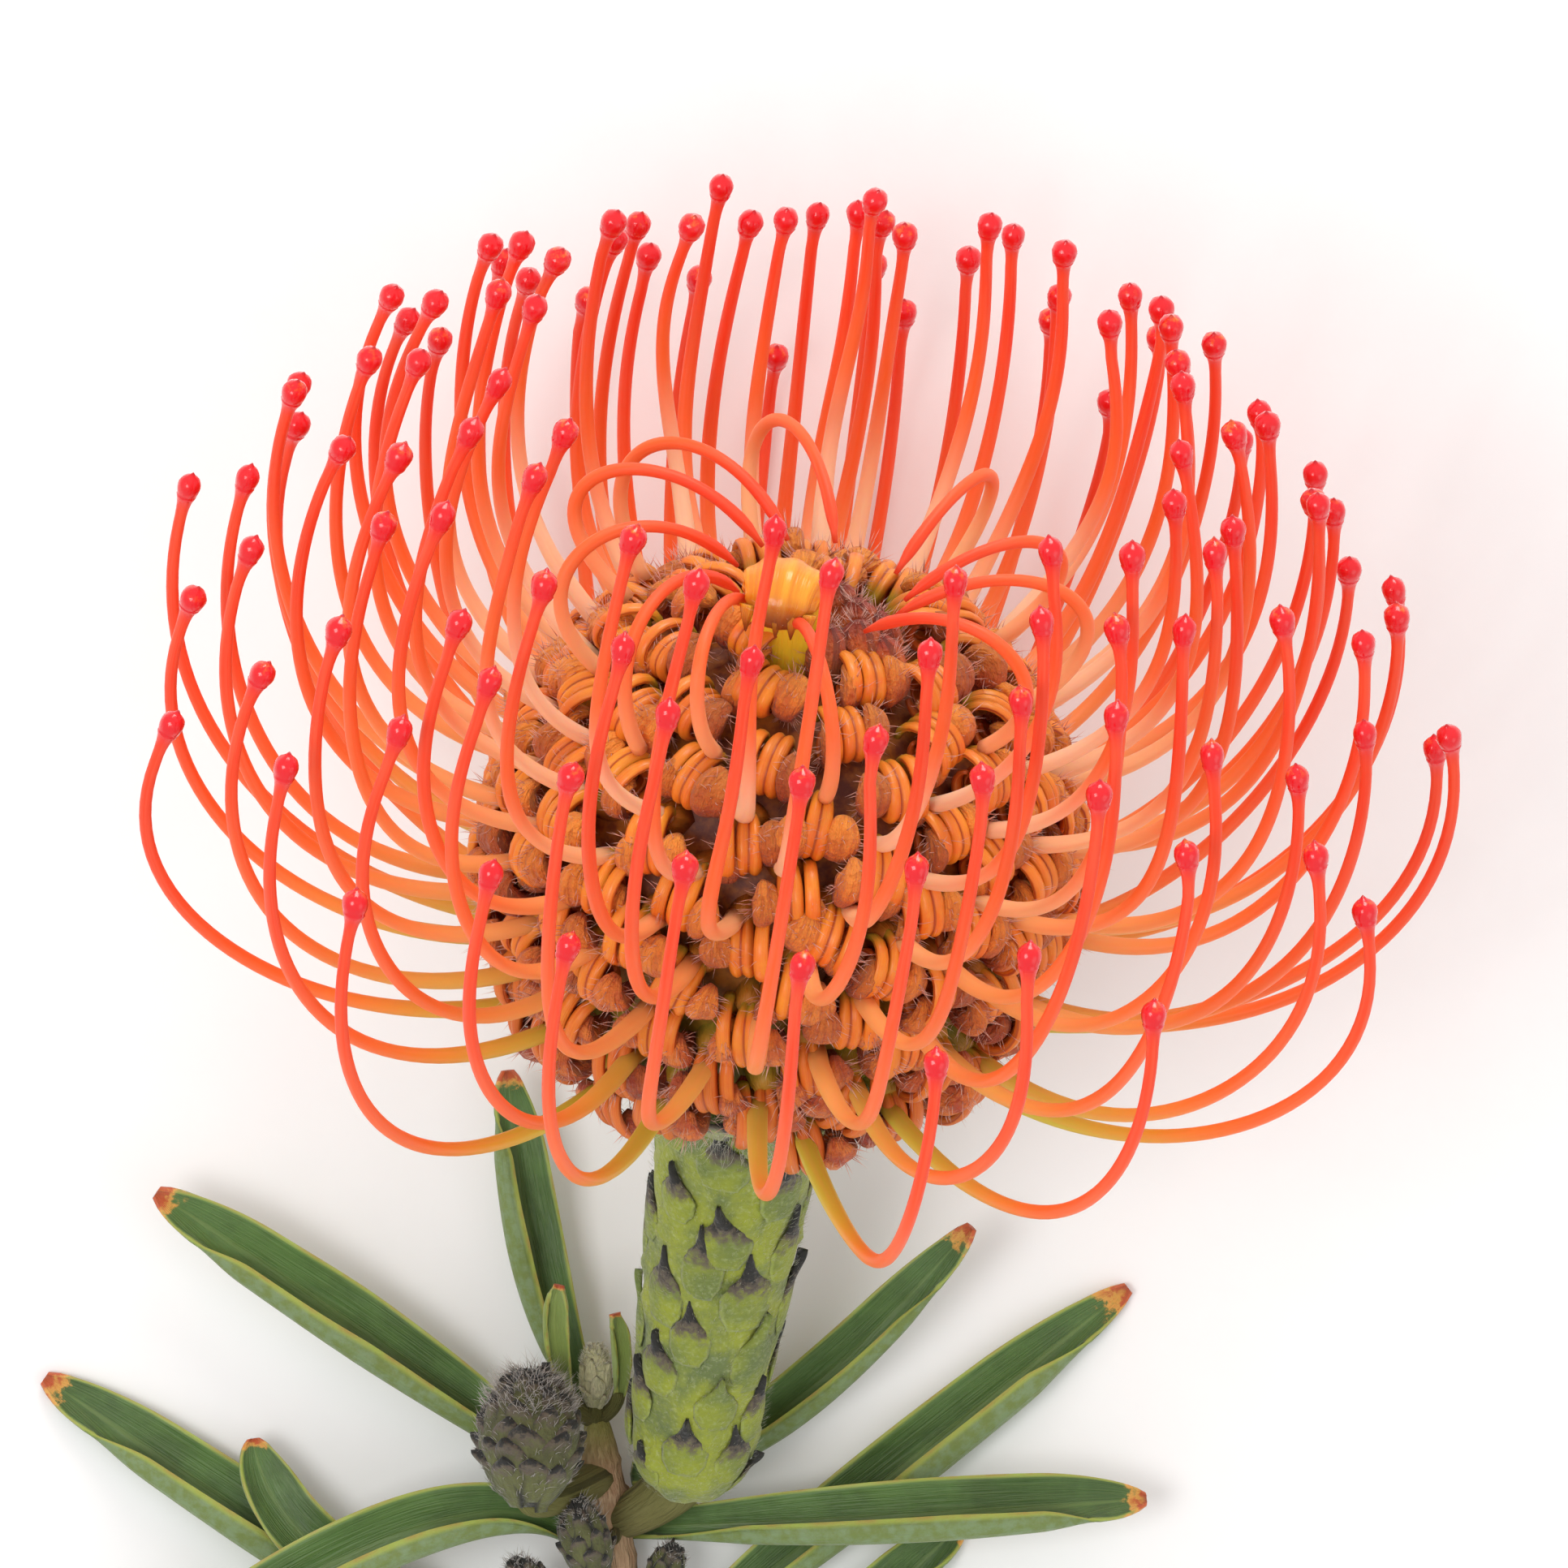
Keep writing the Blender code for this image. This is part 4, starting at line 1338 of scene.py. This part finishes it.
# Half the breadth of a scale from its root to its tip: drawn out to a thin hook, or broad
SCALE_OUTLINE = (
    (0.0, 0.62), (0.22, 0.95), (0.42, 1.0), (0.58, 0.72), (0.70, 0.34), (0.84, 0.17), (1.0, 0.05),
)
BROAD_OUTLINE = ((0.0, 0.80), (0.30, 1.0), (0.60, 0.92), (0.80, 0.62), (0.93, 0.30), (1.0, 0.06))


def make_scale(shape, surface, turn, low, high, half_turn, lift, hook, tone, columns=11, rows=18,
               outline=SCALE_OUTLINE, lean=0.0):
    """A scale pressed on a surface(height, turn, lift), its tip standing off like a hook."""
    rings = []
    marks = []
    for row in range(rows):
        share = row / (rows - 1)
        breadth = profile(outline, share)
        rise = lift * math.sin(math.pi * (0.12 + 0.80 * share)) ** 0.8 + hook * smooth(0.55, 1.0, share)
        place = low + (high - low) * share
        bent = turn + lean * half_turn * smooth(0.5, 1.0, share) * 0.4
        ring = []
        ring_marks = []
        for k in range(columns):
            across = 2.0 * k / (columns - 1) - 1.0
            crown = 1.0 - 0.90 * abs(across) ** 2.4
            ring.append(surface(place, bent + half_turn * breadth * across, rise * crown))
            ring_marks.append((share, k / (columns - 1), tone, 0.0))
        for k in range(columns - 2):
            across = 1.0 - 2.0 * (k + 1) / (columns - 1)
            under = (hook * smooth(0.62, 1.0, share) * 0.7 - 0.30 * MM * (1.0 - share))
            ring.append(surface(place, bent + half_turn * breadth * across * 0.9, under))
            ring_marks.append((share, 0.5 + 0.5 * across, tone, 1.0))
        rings.append(ring)
        marks.append(ring_marks)
    shape.skin(rings, marks)


def stalk_radius(share):
    """Half the stalk's thickness from its neck (0) to its rounded foot (1)."""
    body = (7.0 - 1.9 * share) * MM
    foot = max(0.0, (share - 0.86) / 0.14)
    return body * math.sqrt(max(0.12, 1.0 - 0.88 * foot * foot))


def stalk_surface(height, turn, lift):
    share = min(1.0, max(0.0, (height - STALK_TOP) / (STALK_FOOT - STALK_TOP)))
    return head_point(stalk_radius(share) + lift, turn, height)


class PROTEA_OT_stalk(Piece, bpy.types.Operator):
    """The velvety flower stalk with its pressed, dark-hooked scales and fine hair"""
    bl_idname = "protea.stalk"
    bl_label = "Flower stalk"

    def make(self):
        shade = colours()
        chance = random.Random(21)
        shape = Shape()
        rings = []
        marks = []
        sides = 64
        rows = 80
        bumps = [(any_turn(chance), chance.uniform(0.05, 0.95)) for _ in range(STALK_BUMPS)]
        for row in range(rows):
            share = row / (rows - 1)
            height = STALK_TOP + (STALK_FOOT - STALK_TOP) * share
            ring = []
            for k in range(sides):
                turn = 2.0 * math.pi * k / sides
                lift = 0.16 * MM * math.sin(5.0 * turn + share * 24.0)
                lift += 0.07 * MM * math.sin(11.0 * turn - share * 40.0)
                for bump_turn, bump_share in bumps:
                    gap = math.remainder(turn - bump_turn, 2.0 * math.pi) * 6.0
                    far = (share - bump_share) * 44.0
                    lift += 0.32 * MM * math.exp(-(gap * gap + far * far) / 0.5)
                ring.append(stalk_surface(height, turn, lift - 0.1 * MM))
            rings.append(ring)
            marks.append([(share, k / sides, 0.5, 0.0) for k in range(sides)])
        shape.skin(rings, marks)
        shape.build("velvet_stalk", stalk_finish(), ["flower_stalk"], "stalk_scales")
        scales = Shape()
        for k in range(STALK_SCALES):
            turn = k * GOLDEN_TURN + chance.uniform(-0.22, 0.22)
            share = (k + 0.5) / STALK_SCALES
            low = STALK_FOOT + 0.5 * MM + (STALK_TOP - STALK_FOOT - 6.0 * MM) * share
            low += chance.uniform(-0.8, 0.8) * MM
            size = (5.6 + 1.8 * math.sin(math.pi * share)) * MM * chance.uniform(0.80, 1.15)
            hook = chance.uniform(0.25, 1.0) * MM if chance.random() < 0.82 else 0.05 * MM
            make_scale(scales, stalk_surface, turn, low, low + size, chance.uniform(0.30, 0.42),
                       chance.uniform(0.25, 0.50) * MM, hook, chance.random(), lean=chance.uniform(-0.2, 1.0))
        green = scale_finish("stalk_scale", shade.stalk, shade.stalk_grey, 0.62, rim=True)
        scales.build("stalk_scales", green, (), "stalk_scales")
        nap = Shape()
        for _ in range(STALK_HAIRS):
            turn = any_turn(chance)
            height = chance.uniform(STALK_FOOT + 1.0 * MM, STALK_TOP)
            root = stalk_surface(height, turn, 0.15 * MM)
            nap.hair(root, outward(turn) + AXIS * chance.uniform(0.2, 1.2), chance.uniform(0.35, 0.75) * MM,
                     0.014 * MM, AXIS * 0.3, chance.random(), 0.0)
        fur = hair_finish("pale_nap", shade.stalk_grey, shade.cream_wool)
        nap.build("stalk_nap", fur, (), "stalk_scales")


class PROTEA_OT_collar(Piece, bpy.types.Operator):
    """Pale wool and small bracts where the head meets its stalk"""
    bl_idname = "protea.collar"
    bl_label = "Woolly collar"

    def make(self):
        shade = colours()
        chance = random.Random(5)
        bracts = Shape()

        def under_head(height, turn, lift):
            share = smooth(-19.0 * MM, -10.5 * MM, height)
            return head_point((7.2 + 8.2 * share) * MM + lift * 1.2, turn, height)

        for k in range(COLLAR_BRACTS):
            turn = k * GOLDEN_TURN
            low = (-19.0 + 5.0 * k / (COLLAR_BRACTS - 1)) * MM
            make_scale(bracts, under_head, turn, low, low + 5.2 * MM, 0.22, 0.45 * MM, 0.35 * MM,
                       chance.random(), outline=BROAD_OUTLINE)
        green = scale_finish("collar_bract", (0.40, 0.44, 0.09), (0.27, 0.28, 0.10), 0.86)
        bracts.build("collar_bracts", green, (), "stalk_scales")
        wool = Shape()
        for _ in range(COLLAR_HAIRS):
            turn = any_turn(chance)
            height = chance.uniform(-19.5, -12.0) * MM
            root = under_head(height, turn, 0.2 * MM)
            heading = outward(turn) * chance.uniform(0.4, 1.0) + AXIS * chance.uniform(-0.6, 0.8)
            bend = AXIS * chance.uniform(-0.6, 0.6) + outward(turn + 1.6) * chance.uniform(-0.5, 0.5)
            wool.hair(root, heading, chance.uniform(0.9, 2.1) * MM, 0.022 * MM, bend, chance.random(), 0.0)
        fur = hair_finish("collar_hair", (0.52, 0.50, 0.32), shade.cream_wool)
        wool.build("collar_wool", fur, (), "stalk_scales")


def route_point(rows, share):
    """Smooth point and radius along given rows of x, y, z, radius (Catmull-Rom)."""
    span = share * (len(rows) - 1)
    k = min(len(rows) - 2, int(span))
    t = span - k
    four = [Vector(rows[min(len(rows) - 1, max(0, k + step))]) for step in (-1, 0, 1, 2)]
    a, b, c, d = four
    mixed = 0.5 * (2.0 * b + (c - a) * t + (2.0 * a - 5.0 * b + 4.0 * c - d) * t * t
                   + (3.0 * b - a - 3.0 * c + d) * t * t * t)
    return from_head(mixed[:3]), mixed[3] * MM


class PROTEA_OT_stem(Piece, bpy.types.Operator):
    """The short woody stem with its nodes, leaf scars and clean cut end"""
    bl_idname = "protea.stem"
    bl_label = "Woody stem"

    def make(self):
        material = bark_finish()
        shape = Shape()
        rows = 110
        sides = 32
        nodes = (0.18, 0.36, 0.55, 0.70, 0.80)
        path = []
        radii = []
        for row in range(rows):
            place, radius = route_point(STEM_ROUTE, row / (rows - 1))
            path.append(place)
            radii.append(radius)
        rings = []
        marks = []
        frames = path_frames(path, Vector((1.0, 0.0, 0.0)))
        across, up = frames[0]
        for inner in (0.25, 0.55, 0.85):
            ring = []
            for k in range(sides):
                angle = 2 * math.pi * k / sides
                ring.append(path[0] + around(across, up, angle) * radii[0] * inner)
            rings.append(ring)
            marks.append([(0.0, inner, 0.2, 1.0)] * sides)
        for row, (place, radius, (across, up)) in enumerate(zip(path, radii, frames)):
            share = row / (rows - 1)
            swell = sum(math.exp(-((share - spot) / 0.012) ** 2) for spot in nodes)
            ring = []
            for k in range(sides):
                angle = 2.0 * math.pi * k / sides
                rough = 0.03 * math.sin(7.0 * angle + 3.0 * math.sin(share * 30.0))
                rough += 0.02 * math.sin(13.0 * angle)
                size = radius * (0.985 + rough * 0.6 + 0.09 * swell)
                spot = place + around(across, up, angle) * size
                spot.z = max(spot.z, 0.0)
                ring.append(spot)
            rings.append(ring)
            marks.append([(share, k / sides, 0.2, 0.0) for k in range(sides)])
        shape.skin(rings, marks)
        foot = head_point(0.0, 0.0, STALK_FOOT + 1.2 * MM)
        join = route_point(STEM_ROUTE, 0.62)[0]
        guides = [join, join.lerp(foot, 0.5) - AXIS * 1.4 * MM, foot, foot + AXIS * 2.0 * MM]
        spur = curve(guides, 14)
        shape.tube(spur, [(1.6 + 1.3 * k / 13) * MM for k in range(14)], 28, tone=0.6, span=(0.82, 0.98))
        shape.build("bark_stem", material, ["stem"], "bark")
        scars = Shape()
        chance = random.Random(9)
        for k in range(STEM_SCARS):
            share = 0.06 + 0.78 * k / STEM_SCARS
            place, radius = route_point(STEM_ROUTE, share)
            angle = k * GOLDEN_TURN
            away = Vector((math.cos(angle), 0.0, math.sin(angle)))
            if (place + away * radius).z < 0.5 * MM:
                continue
            top = place + away * radius * 0.92
            route = [top - Vector((0.0, 0.9, 0.0)) * MM, top + away * 0.25 * MM,
                     top + Vector((0.0, 0.8, 0.0)) * MM]
            girth = [max(0.08, 0.55 * math.sin(math.pi * (0.05 + 0.9 * m / 7))) * MM for m in range(8)]
            scars.tube(curve(route, 8), girth, 10, tone=chance.random(),
                       span=(0.2, 0.4))
        scars.build("stem_scars", material, (), "bark")


def leaf_width(share):
    """Width along a leaf as a share of its widest: narrow at the root, blunt at the tip."""
    swell = 0.42 + 0.58 * math.sin(math.pi * min(1.0, max(0.0, share) / 1.24)) ** 1.1
    blunt = math.sqrt(max(0.0, 1.0 - max(0.0, (share - 0.80) / 0.205) ** 2))
    return swell * blunt


# Cross section of a blade in half widths: guides of the half that curls over, rise of the flat half
CURL = ((0.0, 0.0), (-1.0, -0.05), (-0.92, 1.08), (-0.10, 0.90))
FAR_RISE = 0.34
BLADE_COLUMNS = 25


def blade_section(spread, open_share):
    """Point of a blade's cross section, from the curled margin (-1) over the spine to the flat one (1)."""
    if spread > 0.0:
        return spread, FAR_RISE * spread ** 1.6
    t = -spread
    weights = ((1.0 - t) ** 3, 3.0 * t * (1.0 - t) ** 2, 3.0 * t * t * (1.0 - t), t ** 3)
    curled = [sum(weight * guide[axis] for weight, guide in zip(weights, CURL)) for axis in (0, 1)]
    level = (-0.92 * t, FAR_RISE * t ** 1.6)
    return [a + (b - a) * open_share for a, b in zip(curled, level)]


def make_blade(shape, root, middle, tip, width, roll, chance, rows=72, curl=1.0):
    """A leathery strap: one half flat, the other curled over it, with thick wavy margins and a hard tip."""
    guides = [from_head(spot) for spot in (root, middle, tip)]
    guides[1] = guides[1] * 2.0 - (guides[0] + guides[2]) * 0.5
    phase = chance.uniform(0.0, 6.0)
    start = -0.035
    rings = []
    marks = []
    hand = -1.0 if (guides[2] - guides[0]).cross(UP).dot(Vector((0.35, 1.0, 0.0))) < 0.0 else 1.0
    for row in range(rows):
        share = start + (1.0 - start) * row / (rows - 1)
        point = bezier(guides, share)
        along = (bezier(guides, min(1.0, share + 0.02)) - bezier(guides, share - 0.02)).normalized()
        far = along.cross(UP).normalized() * hand
        up = Vector(UP) - along * along.z
        up.normalize()
        angle = math.radians(roll * 0.5) * max(0.0, share) * hand
        far, up = far * math.cos(angle) + up * math.sin(angle), up * math.cos(angle) - far * math.sin(angle)
        half = max(0.5 * 0.90 * width * MM * leaf_width(share), 0.40 * MM)
        rolled = (0.45 + 0.55 * smooth(0.0, 0.30, share)) * (1.0 - smooth(0.80, 0.985, share))
        open_share = 1.0 - curl * rolled
        bend = 0.10 * math.sin(share * 6.5 + phase)
        thick = sizes().leaf_thickness * (0.60 + 0.25 * leaf_width(share))
        thick *= 1.0 + 0.5 * smooth(0.93, 0.98, share)
        flat_points = []
        for k in range(BLADE_COLUMNS):
            spread = 1.0 - 2.0 * k / (BLADE_COLUMNS - 1)
            u, v = blade_section(spread, min(1.0, max(0.0, open_share + bend)))
            wave = 0.07 * abs(spread) ** 3 * math.sin(share * 21.0 + phase + 2.0 * spread)
            flat_points.append(Vector((u * half, (v + wave) * half, 0.0)))
        faces = {1.0: [], -1.0: []}
        for k, flat_point in enumerate(flat_points):
            spread = 1.0 - 2.0 * k / (BLADE_COLUMNS - 1)
            edge = abs(spread)
            tangent = flat_points[max(k - 1, 0)] - flat_points[min(k + 1, BLADE_COLUMNS - 1)]
            normal = Vector((-tangent.y, tangent.x, 0.0)).normalized()
            ridge = 0.5 * thick * (0.72 + 0.34 * smooth(0.80, 0.95, edge))
            ridge *= math.sqrt(max(0.0, 1.0 - edge ** 10))
            for face in (1.0, -1.0):
                lift = ridge
                if face < 0.0:
                    lift += 0.18 * MM * math.exp(-(spread / 0.10) ** 2) * (1.0 - max(0.0, share))
                place = flat_point + normal * lift * face
                spot = point + far * place.x + up * place.y
                spot.z = max(spot.z, 0.0)
                back = 0.0 if face > 0.0 else 1.0
                faces[face].append((spot, (max(0.0, share), 0.5 + 0.5 * spread, 0.0, back)))
        loop = faces[1.0] + list(reversed(faces[-1.0]))
        rings.append([spot for spot, _ in loop])
        marks.append([values for _, values in loop])
    shape.skin(rings, marks)


# Leaves that show only their backs or stay almost flat
OPEN_LEAVES = {"leaf_03": 0.25, "leaf_06": 0.85, "bud_leaf_1": 0.5, "bud_leaf_2": 0.6}


class PROTEA_OT_leaves(Piece, bpy.types.Operator):
    """The folded leathery leaves with pale margins and red-brown tips"""
    bl_idname = "protea.leaves"
    bl_label = "Leaves"

    def make(self):
        grown = leaf_finish("leaf_blade")
        for number, (name, root, middle, tip, width, roll) in enumerate(LEAVES):
            shape = Shape()
            make_blade(shape, root, middle, tip, width, roll, random.Random(40 + number),
                       curl=OPEN_LEAVES.get(name, 1.0))
            shape.build(f"blade_{name}", grown, [name], "leaf")
        tender = leaf_finish("young_leaf", young=True)
        for number, (name, root, middle, tip, width, roll) in enumerate(YOUNG_LEAVES):
            shape = Shape()
            make_blade(shape, root, middle, tip, width, roll, random.Random(70 + number), rows=36,
                       curl=OPEN_LEAVES.get(name, 1.0))
            shape.build(f"tender_{name}", tender, [name], "young_leaf")


def bud_swell(share):
    return math.sin(math.pi * (0.10 + 0.86 * min(1.0, max(0.0, share)))) ** 0.75


class PROTEA_OT_buds(Piece, bpy.types.Operator):
    """The dark scaly buds with woolly crests and the pale bud of the shoot"""
    bl_idname = "protea.buds"
    bl_label = "Buds"

    def make(self):
        shade = colours()
        dark = scale_finish("bud_scale", (0.055, 0.055, 0.024), (0.15, 0.16, 0.055), 0.80)
        pale = scale_finish("shoot_scale", (0.70, 0.66, 0.42), (0.52, 0.52, 0.24), 1.1)
        grey = hair_finish("bud_wool", (0.16, 0.13, 0.12), shade.wool)
        cream = hair_finish("shoot_silk", (0.55, 0.52, 0.30), shade.cream_wool)
        self.make_feet()
        for name, root, tip, radius, scales, hairs in BUDS:
            tender = name == "bud_shoot"
            self.make_bud(name, root, tip, radius * MM, scales, hairs, pale if tender else dark,
                          cream if tender else grey)

    def make_feet(self):
        """Short green feet from the stem to the buds and the small leaves."""
        shape = Shape()
        carried = [(root, tip, 0.5 + radius * 0.20) for name, root, tip, radius, scales, hairs in BUDS]
        carried += [(root, middle, width * 0.30) for name, root, middle, tip, width, roll in YOUNG_LEAVES]
        stem = [route_point(STEM_ROUTE, k / 60)[0] for k in range(15, 61)]
        for root, ahead, girth in carried:
            start = from_head(root)
            heading = (from_head(ahead) - start).normalized()
            near = min(stem, key=lambda place: (place - start).length)
            guides = [near, near.lerp(start, 0.5) - heading * 0.6 * MM, start - heading * 0.5 * MM,
                      start + heading * 0.9 * MM]
            path = [rest_on_floor(bezier(guides, k / 11), girth * 0.9 * MM) for k in range(12)]
            radii = [girth * (1.15 - 0.25 * k / 11) * MM for k in range(12)]
            shape.tube(path, radii, 16, tone=0.62, span=(0.82, 1.0))
        shape.build("bud_feet", bark_finish(), (), "bud_scales")

    def make_bud(self, name, root, tip, radius, scales, hairs, skin, fur):
        chance = random.Random(name)
        start = from_head(root)
        end = from_head(tip)
        heading = (end - start).normalized()
        side = heading.orthogonal().normalized()
        other = heading.cross(side)

        def surface(share, turn, lift):
            size = radius * 0.90 * bud_swell(share) + lift
            return start.lerp(end, share) + around(side, other, turn) * size

        shape = Shape()
        samples = 16
        path = [start.lerp(end, k / (samples - 1)) for k in range(samples)]
        shape.tube(path, [radius * 0.86 * bud_swell(k / (samples - 1)) for k in range(samples)], 28, tone=0.5)
        for k in range(scales):
            low = -0.04 + 0.74 * k / scales
            size = 0.36 * chance.uniform(0.9, 1.15)
            make_scale(shape, surface, k * GOLDEN_TURN, low, low + size, chance.uniform(0.46, 0.64),
                       0.05 * radius, 0.20 * radius * chance.uniform(0.7, 1.2), chance.random(), rows=14,
                       outline=BROAD_OUTLINE, lean=chance.uniform(-1.0, 1.0))
        slot = "shoot_wool" if name == "bud_shoot" else "bud_scales"
        shape.build(f"scaly_{name}", skin, [name], slot)
        wool = Shape()
        for k in range(hairs * 3):
            crest = k < hairs * 2
            share = chance.uniform(0.70, 1.0) if crest else chance.uniform(0.08, 0.8)
            turn = any_turn(chance)
            away = around(side, other, turn)
            root_place = surface(share, turn, 0.06 * radius)
            size = radius * (chance.uniform(0.16, 0.40) if crest else chance.uniform(0.10, 0.20))
            bend = heading * chance.uniform(-0.6, 0.5) + away.cross(heading) * chance.uniform(-1.0, 1.0)
            wool.hair(root_place, away * chance.uniform(0.4, 1.0) + heading * 0.6, size, 0.032 * MM, bend,
                      chance.random(), 0.0)
        wool.build(f"wool_{name}", fur, (), slot)


# ---------------------------------------------------------------- stage

VIEW_WIDTH = 128.8 * MM
VIEW_DISTANCE = 2000.0 * MM
VIEW_SHIFT = Vector((1.07, 10.5, 0.0)) * MM
SENSOR = 36.0


class PROTEA_OT_stage(bpy.types.Operator):
    """The pale surface, soft studio light and the camera that looks down on the flower"""
    bl_idname = "protea.stage"
    bl_label = "Stage"

    def execute(self, context):
        self.make_surface()
        self.make_light()
        self.make_camera()
        return {"FINISHED"}

    def make_surface(self):
        mesh = bpy.data.meshes.new("pale_surface")
        half = 3.0
        mesh.from_pydata([(-half, -half, 0.0), (half, -half, 0.0), (half, half, 0.0), (-half, half, 0.0)], [],
                         [(0, 1, 2, 3)])
        mesh.materials.append(surface_finish())
        surface = bpy.data.objects.new("pale_surface", mesh)
        surface.location.z = -0.05 * MM
        bpy.context.collection.objects.link(surface)
        surface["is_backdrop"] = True

    def make_area(self, name, place, size, power, tint=(1.0, 1.0, 1.0)):
        data = bpy.data.lights.new(name, "AREA")
        data.shape = "SQUARE"
        data.size = size
        data.energy = power
        data.color = tint
        lamp = bpy.data.objects.new(name, data)
        lamp.location = place
        lamp.rotation_euler = (Vector(place) - HEAD_CENTRE).to_track_quat("Z", "Y").to_euler()
        bpy.context.collection.objects.link(lamp)

    def make_light(self):
        world = bpy.data.worlds.new("studio")
        world.use_nodes = True
        background = world.node_tree.nodes["Background"]
        background.inputs["Color"].default_value = (1.0, 1.0, 1.0, 1.0)
        background.inputs["Strength"].default_value = 0.74
        bpy.context.scene.world = world
        self.make_area("key_light", (-0.45, -0.10, 0.95), 0.45, 3.6)
        self.make_area("back_light", (0.15, 0.85, 0.45), 0.40, 3.6, (1.0, 0.98, 0.95))
        self.make_area("fill_light", (0.70, -0.45, 0.60), 0.60, 0.9)
        settings = bpy.context.scene.view_settings
        settings.view_transform = "Standard"
        settings.look = "None"
        settings.exposure = 0.0

    def make_camera(self):
        data = bpy.data.cameras.new("camera")
        data.sensor_width = SENSOR
        data.lens = SENSOR * VIEW_DISTANCE / VIEW_WIDTH
        data.clip_start = 0.01
        camera = bpy.data.objects.new("camera", data)
        camera.location = HEAD_CENTRE + VIEW_SHIFT + UP * VIEW_DISTANCE
        bpy.context.collection.objects.link(camera)
        bpy.context.scene.camera = camera


STEPS = (
    PROTEA_OT_stage, PROTEA_OT_floret_floor, PROTEA_OT_ribbons, PROTEA_OT_petal_ends, PROTEA_OT_open_styles,
    PROTEA_OT_closed_styles, PROTEA_OT_young_floret, PROTEA_OT_stalk, PROTEA_OT_collar, PROTEA_OT_stem,
    PROTEA_OT_leaves, PROTEA_OT_buds,
)


class PROTEA_PT_panel(bpy.types.Panel):
    """Buttons for each group of pieces, with the sizes and colours"""
    bl_idname = "PROTEA_PT_panel"
    bl_label = "Pincushion protea"
    bl_space_type = "VIEW_3D"
    bl_region_type = "UI"
    bl_category = "Protea"

    def draw(self, context):
        column = self.layout.column(align=True)
        for step in STEPS:
            column.operator(step.bl_idname)
        for group in (context.scene.protea_sizes, context.scene.protea_colours):
            box = self.layout.box()
            for name in group.bl_rna.properties.keys():
                if name not in {"rna_type", "name"}:
                    box.prop(group, name)


CLASSES = (PROTEA_PG_sizes, PROTEA_PG_colours, *STEPS, PROTEA_PT_panel)


def register():
    for cls in CLASSES:
        bpy.utils.register_class(cls)
    bpy.types.Scene.protea_sizes = PointerProperty(type=PROTEA_PG_sizes)
    bpy.types.Scene.protea_colours = PointerProperty(type=PROTEA_PG_colours)


def unregister():
    del bpy.types.Scene.protea_colours
    del bpy.types.Scene.protea_sizes
    for cls in reversed(CLASSES):
        bpy.utils.unregister_class(cls)


def main():
    register()
    for step in STEPS:
        family, name = step.bl_idname.split(".")
        getattr(getattr(bpy.ops, family), name)()
    corners = {"cad": CAD_BOX, "visual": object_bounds()}
    plain = {key: [[float(value) for value in corner] for corner in box] for key, box in corners.items()}


if __name__ == "__main__":
    main()
